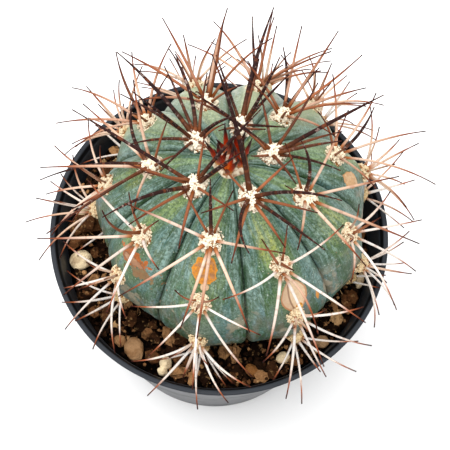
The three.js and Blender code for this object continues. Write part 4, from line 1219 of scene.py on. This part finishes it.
def strewn(kind, count):
    """Angular bits over the bed, from near black to tan, with painted light making them paler near the wall: flat
    chips, or small crumbs.
    """
    rule = STREWN[kind]
    random = np.random.default_rng(rule["seed"])
    x, y = ring_places(random, count, BARE_RADIUS, rule["radius"])
    clear = past_stones(x, y, list_stones()) > rule["margin"]
    x, y = x[clear], y[clear]
    count = len(x)
    long = random.uniform(*rule["lengths"], count) * (1 + rule["growth"] * heap(x, y))
    hold = np.minimum(1, (soil_inner_radius(SOIL_LEVEL) - long / 2) / np.hypot(x, y))
    x, y = x * hold, y * hold
    wide, high = (long * random.uniform(*rule[side], count) for side in ("widths", "heights"))
    z = heaped_height(x, y) - rule["sunk"] + rule["rise"] * high + random.uniform(*rule["stray"], count)
    placed, quads, triangles = lumps_of(random, count, ball(*rule["shape"]), np.stack([long, wide, high], -1),
                                        np.stack([x, y, z], -1), rule["tilt"], rule["roughness"])
    # painted light: the bits near the wall are painted paler, as if lit in the wall's shade; those on the heap are
    # paler bark
    paler = rule["painted_light_by_wall"] * smooth(np.hypot(x, y), *WALL_LIGHT_SLOPE) + rule["on_heap"] * heap(x, y)
    tone = np.minimum(1, random.beta(*rule["tones"], count) + paler)[:, None]
    return Skin().add_many(placed, quads, triangles, tone=tone)


def fibres(count):
    """Thin bent roots lying on the soil."""
    random = np.random.default_rng(23)
    x, y = ring_places(random, count, BARE_RADIUS + 3, 53)
    steps = 7
    way = random.uniform(0, 2 * np.pi, count)
    bend = random.normal(0, 0.9, count)
    part = np.linspace(-0.5, 0.5, steps)
    turn = way[:, None] + bend[:, None] * part
    size = random.uniform(3, 8, count)[:, None] / steps
    lx = x[:, None] + np.cumsum(np.cos(turn) * size, axis=1)
    ly = y[:, None] + np.cumsum(np.sin(turn) * size, axis=1)
    hold = np.minimum(1, BITS_RADIUS / np.maximum(np.hypot(lx, ly), 1))
    lx, ly = lx * hold, ly * hold
    lz = heaped_height(lx, ly) + random.uniform(0.6, 1.6, count)[:, None] + 0.4 * np.cos(part * np.pi)
    radii = np.broadcast_to(random.uniform(0.09, 0.2, count)[:, None], lx.shape)
    lines = np.stack([lx, ly, lz], -1)
    return Skin().add_many(*tubes(lines, radii, 5), tone=random.uniform(0.55, 1, count)[:, None])


class MakeSoil(bpy.types.Operator):
    """Lays the peat bed, its bark chips, crumbs and fibres"""
    bl_idname = "cactus.make_soil"
    bl_label = "Soil"

    def execute(self, context):
        settings = context.scene.cactus_soil
        dark, brown = peat(settings), bark(settings)
        for name, skin, material, flat in (
            ("soil_bed", soil_bed(), dark, False),
            ("bark_chips", strewn("bark_chips", settings.chips), brown, True),
            ("soil_crumbs", strewn("soil_crumbs", settings.crumbs), brown, True),
            ("root_fibres", fibres(settings.fibres), brown, False),
        ):
            place_piece(skin.build(name, [material], flat), "soil", "soil")
        return {"FINISHED"}


# How brown each loose stone is, the one with a waist and the one with a dark dot.
STONE_BROWN = [0.0, 0.35, 0.6, 0.0, 0.85, 0.9, 1.0, 0.1, 0.8, 0.3]
WAISTED_STONE = 3
DOTTED_STONE = 0
STONE_RINGS = 23
STONE_SIDES = 40


class MakeStones(bpy.types.Operator):
    """Shapes the loose stones on the soil"""
    bl_idname = "cactus.make_stones"
    bl_label = "Stones"

    def execute(self, context):
        material = stone_finish(context.scene.cactus_stones)
        points, quads, triangles = ball(STONE_RINGS, STONE_SIDES)
        for i, stone in enumerate(list_stones()):
            worn = 0.95 + (0.05 + 0.11 * STONE_BROWN[i]) * layered(points + 10 * i, 0.7, 3, seed=40 + i)
            square = np.sign(points) * np.abs(points) ** 0.88
            shaped = square / np.maximum(np.linalg.norm(square, axis=1, keepdims=True), 0.6) * worn[:, None]
            shaped = np.clip(shaped, -1, 1) * stone["size"] / 2
            if i == WAISTED_STONE:
                shaped[:, 1:] *= (1 - 0.42 * np.exp(-((points[:, :1] - 0.2) / 0.2) ** 2))
            dot = np.exp(-((points - unit(np.array([0.1, -0.25, 1.0]))) ** 2).sum(axis=1) / 0.012) * (i == DOTTED_STONE)
            skin = Skin(shaped @ about("z", stone["turn"]).T + stone["middle"], quads, triangles,
                        tone=STONE_BROWN[i], chance=dot)
            place_piece(skin.build(f"loose_stone_{i + 1}", [material]), "stone", f"stone_{i + 1}")
        return {"FINISHED"}


# ---- Stem ----

def scar_relief(polar, azimuth):
    """The height of the scars on the skin: smooth rounds and almonds, hollow ones with a raised rim."""
    total = np.zeros(polar.shape)
    for centre, turn, wide, high, pointed, _, relief, *_ in SCARS:
        off = np.abs((azimuth - turn + 180) % 360 - 180) * (np.pi / 180 * STEM_RADIUS * math.sin(math.radians(centre)))
        a, b = off / wide, np.abs(polar - centre) * (np.pi / 180 * RIB_ARC) / high
        reach = a + b ** 2 if pointed else np.hypot(a, b)
        if relief < 0:
            total += relief * smooth(reach, 1.0, 0.75) - relief * np.exp(-((reach - 1.02) / 0.14) ** 2)
        else:
            total += relief * smooth(reach, 1.15, 0.6)
    return total


BURIED_POLAR = 126  # below this angle from the apex the stem is buried, and needs few rows
BURIED_ROWS = 16


def stem_grid(settings):
    """The ribbed surface over angle from the apex and azimuth, its points drawn close in the grooves, with
    a fine crease, swellings, wrinkles and scars added outwards, closed at the apex and under the soil."""
    middles = (CRESTS[:-1] + CRESTS[1:]) / 2
    part = np.arange(settings.rib_steps) / settings.rib_steps
    falling, rising = 1 - (1 - part) ** 1.35, part ** 1.35
    halves = [start + (end - start) * share for crest, middle, after in zip(CRESTS[:-1], middles, CRESTS[1:])
              for start, end, share in ((crest, middle, falling), (middle, after, rising))]
    azimuth = np.concatenate(halves)
    polar = np.concatenate([np.linspace(178.5, BURIED_POLAR, BURIED_ROWS, endpoint=False),
                            np.linspace(BURIED_POLAR, 0.6, settings.rows - BURIED_ROWS)])
    polar, azimuth = np.meshgrid(polar, azimuth, indexing="ij")
    across = across_rib(azimuth)
    plain = stem_point(polar, azimuth)
    wrinkle = 0.26 * layered(plain, 7.0, 2, seed=5) + 0.1 * grain(plain, 1.7, seed=8)
    wrinkle = wrinkle * np.minimum(1, polar / 12) + scar_relief(polar, azimuth)
    crease = 0.22 * np.exp(-((across - 0.86) / 0.06) ** 2) - 0.6 * smooth(across, 0.95, 1.0)
    crease = crease * smooth(polar, 6, 25)
    points = stem_point(polar, azimuth, wrinkle + crease)
    ends = np.stack([stem_point(180, 0), stem_point(0, 0)])
    points = np.vstack([points.reshape(-1, 3), ends])
    across = np.append(across.ravel(), [0, 0])
    low = np.append(smooth(polar, 30, 100).ravel(), [1, 0])
    turn = np.radians(azimuth)
    flow = np.stack([STEM_RADIUS * np.cos(turn), STEM_RADIUS * np.sin(turn), 0.16 * polar], -1).reshape(-1, 3)
    flow = np.vstack([flow, [[0, 0, 30], [0, 0, 0]]]) * MM
    return points, closed_rings(settings.rows, azimuth.shape[1]), across, low, flow


class MakeStem(bpy.types.Operator):
    """Shapes the ribbed stem with its root"""
    bl_idname = "cactus.make_stem"
    bl_label = "Stem"

    def execute(self, context):
        settings = context.scene.cactus_stem
        points, (quads, triangles), across, low, flow = stem_grid(settings)
        skin = Skin(points, quads, triangles, along=across, tone=low)
        top = STEM_CENTRE[2] - STEM_HALF_HEIGHT + 3
        root_profile = np.array([[ROOT_RADIUS * (0.5 + 0.5 * share), top - ROOT_LENGTH * (1 - share)]
                                 for share in np.linspace(0, 1, 9)])
        root, quads, triangles = lathe(root_profile, 40, top - ROOT_LENGTH, top)
        skin.add(root + [STEM_CENTRE[0], STEM_CENTRE[1], 0], quads, triangles, tone=1.0)
        piece = skin.build("ribbed_stem", [stem_skin(settings)])
        flow = np.vstack([flow, root * MM]).astype(np.float32)
        attribute = piece.data.attributes.new("flow", "FLOAT_VECTOR", "POINT")
        attribute.data.foreach_set("vector", flow.ravel())
        place_piece(piece, "stem", "stem")
        return {"FINISHED"}


# ---- Areoles ----

def on_mound(areole, share, angle, outline, height):
    """Points over an areole: share outwards times the outline, following the rib, a height along its normal."""
    up, side = share * outline * np.cos(angle), share * outline * 0.86 * np.sin(angle)
    level = STEM_RADIUS * math.sin(math.radians(areole["polar"]))
    ground = stem_point(areole["polar"] - np.degrees(up / RIB_ARC), areole["azimuth"] - np.degrees(side / level))
    return ground + areole["frame"]["normal"] * np.asarray(height)[..., None]


def dome(share):
    """The mound's height over the share outwards: flat-topped, steep at the edge."""
    return WOOL_HEIGHT * 0.9 * (1 - np.clip(share, 0, 1) ** 2.4) ** 0.55


def closed_mound(points, rough, place, normal):
    """Rings of a mound closed below its place and at its top, with the height of the wool's crumbs."""
    hubs = np.stack([place - normal * WOOL_SUNK, points[-1].mean(axis=0)])
    quads, triangles = closed_rings(*points.shape[:2])
    return np.vstack([points.reshape(-1, 3), hubs]), quads, triangles, np.append(rough.ravel(), [0, 0.6])


def wool_mound(areole, crumb):
    """A cushion over share outwards and angle: the outline is blended between the rough edges, the height
    falls off towards it, and crumbs stand out of it."""
    roll = Dice(500 + 100 * areole["rib"] + areole["whorl"])
    edges = np.array([WOOL_HALF_LENGTH[areole["whorl"]] * (0.86 + 0.2 * roll()) for _ in range(WOOL_SIDES)])
    angle = around(MOUND_SIDES)
    position = np.arange(MOUND_SIDES) / MOUND_SIDES * WOOL_SIDES
    low = np.floor(position).astype(int)
    blend = smooth(position - low, 0, 1)
    outline = edges[low % WOOL_SIDES] * (1 - blend) + edges[(low + 1) % WOOL_SIDES] * blend
    open_share = np.linspace(0.99, 0.04, 26)
    share = np.concatenate([WOOL_SKIRT, open_share])[:, None]
    ground = on_mound(areole, share, angle, outline, np.zeros((len(share), MOUND_SIDES)))
    rough = 0.55 * grain(ground, crumb * 1.5, seed=60) + 0.45 * grain(ground, crumb * 0.6, seed=61)
    fray = 1 + 0.14 * grain(ground + 50, crumb, seed=62)
    height = np.concatenate([WOOL_SKIRT_HEIGHTS, dome(open_share)])[:, None]
    standing = np.maximum(height + np.where(height > 0, 0.8 * rough, 0), -WOOL_SUNK)
    base = areole["frame"]
    points = ground + base["normal"] * standing[..., None]
    middle = points[1:].reshape(-1, 3).mean(axis=0)
    points = middle + (points - middle) * np.where(share > 0.9, fray, 1)[..., None]
    # the heights go to the wool's finish, which paints the low ones and the mound's foot darker, partly as painted
    # shade
    return closed_mound(points, 0.5 + 0.5 * rough - 0.25 * (share > 0.93), base["place"], base["normal"])


def wool_crumbs(areole, count, random):
    """Small uneven lumps strewn over the mound and just past its edge."""
    share = np.sqrt(random.uniform(0.0, 1.12, count))
    angle = random.uniform(0, 2 * np.pi, count)
    middle = on_mound(areole, share, angle, WOOL_HALF_LENGTH[areole["whorl"]], dome(share) + 0.1)
    shape, quads, triangles = ball(3, 5)
    size = random.uniform(0.2, 0.52, (count, 1, 1)) * (1 + random.uniform(-0.3, 0.3, (count, len(shape), 1)))
    return middle[:, None] + shape * size * random.uniform(0.75, 1.25, (count, 1, 3)), quads, triangles


def tufts(areole, count, random):
    """Loose bent hairs round the mound's edge and on top of it."""
    base = areole["frame"]
    angle = random.uniform(0, 2 * np.pi, count)
    share = np.sqrt(random.uniform(0.25, 1.1, count))
    start = on_mound(areole, share, angle, WOOL_HALF_LENGTH[areole["whorl"]], dome(share) * 0.9)
    outward = base["up"] * np.cos(angle)[:, None] + base["right"] * np.sin(angle)[:, None]
    stray = random.normal(0, 0.55, (count, 3))
    way = unit(outward * share[:, None] + base["normal"] * 0.45 + stray)
    size = random.uniform(0.5, 1.2, count)
    part = np.array([0.0, 0.5, 1.0])
    droop = random.normal(0, 0.35, (count, 3))
    lines = start[:, None] + way[:, None] * (size[:, None] * part)[..., None]
    lines = lines + droop[:, None] * (part ** 2)[:, None]
    radii = random.uniform(0.07, 0.15, count)[:, None] * np.array([1, 0.85, 0.45])
    return lines, radii


TIP_SHORTENING = 0.3  # a round tip ends this much before the line does
ROUND_SHARE = 0.86  # a round spine's radius against that of its line, as the solid one has only three sides
LEAST_RADIUS = 0.22


def horns(spines, sides):
    """Tapered tubes along the spines' lines, sunk in the wool and a little swollen at the base."""
    lines = np.array([spine["line"] for spine in spines])
    lines[:, -1] -= unit(lines[:, -1] - lines[:, -2]) * TIP_SHORTENING
    radii = np.maximum(ROUND_SHARE * np.array([spine["radius"] for spine in spines]), LEAST_RADIUS)
    first = lines[:, :1] - (lines[:, 1:2] - lines[:, :1]) * 0.5
    lines = np.concatenate([first, lines], axis=1)
    swell = 1 + 0.4 * np.exp(-STEP_PARTS / 0.05)
    radii = np.concatenate([radii[:, :1] * 1.1, radii * swell], axis=1)
    points, quads, triangles = tubes(lines, radii, sides)
    along = np.repeat(np.append([0.0], STEP_PARTS), sides)
    along = np.append(along, [0.0, 1.0])
    return points, quads, triangles, along


SPINE_TONES = {"strong": [0.0, 0.05, 0.08], "central": [0.1, 0.24, 0.34, 0.5, 0.7, 0.85, 1, 1],
               "upper": [0.36, 0.38, 0.42, 0.5, 0.66, 0.85, 1, 1], "radial": [0.46, 0.82, 0.9, 0.98, 1, 1, 1, 1]}


def spine_tone(spine):
    """How pale a spine has grown: by its kind and whorl, and less so at the sides and the back."""
    areole = spine["areole"]
    tones = SPINE_TONES[spine["kind"]]
    shaded = 0.32 * smooth(areole["frame"]["normal"][1], -0.6, 0.4) * (spine["kind"] == "radial")
    return tones[min(areole["whorl"], len(tones) - 1)] + spine.get("pale", 0) - shaded


class MakeAreoles(bpy.types.Operator):
    """Grows the wool and spines of every areole"""
    bl_idname = "cactus.make_areoles"
    bl_label = "Areoles"

    def execute(self, context):
        wool, horn = context.scene.cactus_wool, context.scene.cactus_spines
        materials = [wool_finish(wool), spine_finish(horn)]
        areoles = list_areoles()
        spines = settle_spines(areoles, list_stones())
        for number, areole in enumerate(areoles):
            random = np.random.default_rng(300 + number)
            age = areole["whorl"] / (len(WHORL_ANGLES) - 1)
            points, quads, triangles, height = wool_mound(areole, wool.crumb / MM)
            skin = Skin(points, quads, triangles, along=height, tone=age)
            lumps = wool_crumbs(areole, wool.crumbs, random)
            skin.add_many(*lumps, along=random.uniform(0.45, 1.0, (wool.crumbs, 1)), tone=age)
            hairs, radii = tufts(areole, wool.tufts, random)
            skin.add_many(*tubes(hairs, radii, 4), along=0.9, tone=age)
            own = [spine for spine in spines if spine["areole"] is areole]
            if own:
                points, quads, triangles, along = horns(own, horn.sides)
                tone = np.array([spine_tone(spine) for spine in own]) + random.uniform(-0.08, 0.08, len(own))
                skin.add_many(points, quads, triangles, 1, along=along, tone=np.clip(tone, 0, 1)[:, None],
                              chance=random.random(len(own))[:, None])
            name = f"w{areole['whorl'] + 1}_r{areole['rib'] + 1}"
            place_piece(skin.build("spray_" + name, materials), "areole", "areole_" + name)
        return {"FINISHED"}


# ---- Crown ----

class MakeCrown(bpy.types.Operator):
    """Grows the wool and the fans of new spines at the apex"""
    bl_idname = "cactus.make_crown"
    bl_label = "Crown"

    def execute(self, context):
        wool = context.scene.cactus_wool
        skin = self.mound(wool.crumb / MM)
        points, quads, triangles, along = horns(self.spines(), 8)
        skin.add_many(points, quads, triangles, 1, along=along)
        piece = skin.build("crown_of_new_spines", [wool_finish(wool), crown_finish()])
        place_piece(piece, "crown", "crown")
        return {"FINISHED"}

    def mound(self, crumb):
        """A round cushion over share outwards and angle, its outline waved in five lobes."""
        normal = areole_frame(0.01, 0)["normal"]
        open_share = np.linspace(0.99, 0.03, 24)
        angle, share = around(MOUND_SIDES), np.concatenate([WOOL_SKIRT, open_share])[:, None]
        height = np.concatenate([WOOL_SKIRT_HEIGHTS, CROWN_HEIGHT * (1 - open_share ** 2.2) ** 0.6])[:, None]
        outline = CROWN_RADIUS * (0.94 + 0.06 * np.cos(5 * (angle - math.radians(RIB_AZIMUTHS[0]))))
        ground = stem_point(np.degrees(share * outline / STEM_RADIUS), np.degrees(angle) + 0 * share)
        rough = 0.6 * grain(ground, crumb * 1.5, seed=70) + 0.4 * grain(ground, crumb * 0.7, seed=71)
        points = ground + normal * (height * 0.9 + np.where(height > 0, 0.85 * rough, 0))[..., None]
        points, quads, triangles, height = closed_mound(points, 0.5 + 0.5 * rough, stem_point(0, 0), normal)
        return Skin(points, quads, triangles, along=height, tone=0.25)

    def spines(self):
        """Fans of short swollen spines, each fan a little off the apex on every other rib."""
        roll = Dice(79)
        spines = []
        for fan in range(CROWN_FANS):
            fan_frame = areole_frame(CROWN_FAN_ANGLE, RIB_AZIMUTHS[2 * fan % len(RIB_AZIMUTHS)] + 8 * roll())
            for k in range(CROWN_SPINES):
                spine = {"turn": 360 * ((k + 0.3 * roll()) / CROWN_SPINES), "lean": 8 + 14 * roll(),
                         "length": 8 + 7 * roll(), "width": CROWN_WIDTH, "bend": 6, "sweep": 0,
                         "seat": 0.8, "spread": 0.5}
                swollen = spine_radius(spine, STEP_PARTS) * (1.9 - 0.6 * STEP_PARTS)
                spines.append({"line": spine_line(fan_frame, spine, 0, 0), "radius": swollen})
        return spines


# ---- Stage ----

CAMERA_ELEVATION = 67.0
CAMERA_ROLL = 4.5
CAMERA_DISTANCE = 500.0
CAMERA_LENS = 112.8
CAMERA_OFFSET = (1.879, 2.305)  # the rim's centre stands left of and below the picture's middle
SENSOR_WIDTH = 36.0
FLOOR_REACH = 1500.0
LAMP_WIDTH = 1.2  # metres, like its place
LAMP_PLACE = (-0.2, -0.02, 1.2)
LAMP_TILT = (1, -9, 0)
WHITE = (1.0, 1.0, 1.0, 1.0)


class MakeStage(bpy.types.Operator):
    """Sets the floor, the soft light and the camera"""
    bl_idname = "cactus.make_stage"
    bl_label = "Stage"

    def execute(self, context):
        settings = context.scene.cactus_stage
        self.make_floor(settings)
        self.make_light(context.scene, settings)
        self.make_camera(context.scene)
        return {"FINISHED"}

    def make_floor(self, settings):
        """A plain matt floor."""
        reach = FLOOR_REACH * MM
        mesh = bpy.data.meshes.new("floor")
        corners = [(-reach, -reach, 0), (reach, -reach, 0), (reach, reach, 0), (-reach, reach, 0)]
        mesh.from_pydata(corners, [], [(0, 1, 2, 3)])
        finish = Finish("floor_matt", 0.9, 0.1)
        finish.feed({"Base Color": settings.floor})
        mesh.materials.append(finish.material)
        floor = bpy.data.objects.new("floor", mesh)
        bpy.context.scene.collection.objects.link(floor)

    def make_light(self, scene, settings):
        """A round soft lamp overhead and an even white sky."""
        lamp = bpy.data.lights.new("softbox", "AREA")
        lamp.shape = "DISK"
        lamp.size = LAMP_WIDTH
        lamp.energy = settings.light
        softbox = bpy.data.objects.new("softbox", lamp)
        softbox.location = LAMP_PLACE
        softbox.rotation_euler = [math.radians(turn) for turn in LAMP_TILT]
        scene.collection.objects.link(softbox)
        world = bpy.data.worlds.new("studio")
        world.use_nodes = True
        sky = world.node_tree.nodes["Background"]
        sky.inputs["Color"].default_value = WHITE
        sky.inputs["Strength"].default_value = settings.sky
        scene.world = world
        scene.view_settings.view_transform = "Standard"

    def make_camera(self, scene):
        """The camera, from its height, its roll and where the rim stands in the picture."""
        tilt, roll = math.radians(CAMERA_ELEVATION), math.radians(CAMERA_ROLL)
        back = np.array([0, -math.cos(tilt), math.sin(tilt)])
        right, up = np.array([1.0, 0, 0]), np.array([0, math.sin(tilt), math.cos(tilt)])
        turned_right = math.cos(roll) * right + math.sin(roll) * up
        turned_up = -math.sin(roll) * right + math.cos(roll) * up
        place_mm = np.array([0, 0, POT_HEIGHT]) + CAMERA_DISTANCE * back
        place_mm = place_mm + CAMERA_OFFSET[0] * turned_right + CAMERA_OFFSET[1] * turned_up
        lens = bpy.data.cameras.new("camera")
        lens.lens = CAMERA_LENS
        lens.sensor_width = SENSOR_WIDTH
        lens.clip_start = 0.01
        camera = bpy.data.objects.new("camera", lens)
        matrix = np.eye(4)
        matrix[:3, 0], matrix[:3, 1], matrix[:3, 2] = turned_right, turned_up, back
        matrix[:3, 3] = place_mm * MM
        camera.matrix_world = Matrix(matrix.tolist())
        scene.collection.objects.link(camera)
        scene.camera = camera


class CactusPanel(bpy.types.Panel):
    """The pieces of the cactus, in the order they are made"""
    bl_idname = "CACTUS_PT_pieces"
    bl_label = "Potted cactus"
    bl_space_type = "VIEW_3D"
    bl_region_type = "UI"
    bl_category = "Cactus"

    def draw(self, context):
        for name, settings in SETTINGS.items():
            box = self.layout.box()
            box.label(text=name.replace("_", " "))
            for key in settings.__annotations__:
                box.prop(getattr(context.scene, name), key)
        for operator in OPERATORS:
            self.layout.operator(operator.bl_idname)


SETTINGS = {
    "cactus_pot": PotSettings, "cactus_soil": SoilSettings, "cactus_stones": StoneSettings,
    "cactus_stem": StemSettings, "cactus_spines": SpineSettings, "cactus_wool": WoolSettings,
    "cactus_stage": StageSettings,
}
OPERATORS = [MakePot, MakeSoil, MakeStones, MakeStem, MakeAreoles, MakeCrown, MakeStage]


def register():
    """Adds the settings, the operators and the panel."""
    for name, settings in SETTINGS.items():
        bpy.utils.register_class(settings)
        setattr(bpy.types.Scene, name, PointerProperty(type=settings))
    for operator in OPERATORS:
        bpy.utils.register_class(operator)
    bpy.utils.register_class(CactusPanel)


def unregister():
    """Takes them away again."""
    bpy.utils.unregister_class(CactusPanel)
    for operator in reversed(OPERATORS):
        bpy.utils.unregister_class(operator)
    for name, settings in reversed(SETTINGS.items()):
        delattr(bpy.types.Scene, name)
        bpy.utils.unregister_class(settings)


def main():
    """Makes every piece in order."""
    register()
    bpy.ops.cactus.make_stage()
    bpy.ops.cactus.make_pot()
    bpy.ops.cactus.make_soil()
    bpy.ops.cactus.make_stones()
    bpy.ops.cactus.make_stem()
    bpy.ops.cactus.make_areoles()
    bpy.ops.cactus.make_crown()


if __name__ == "__main__":
    main()
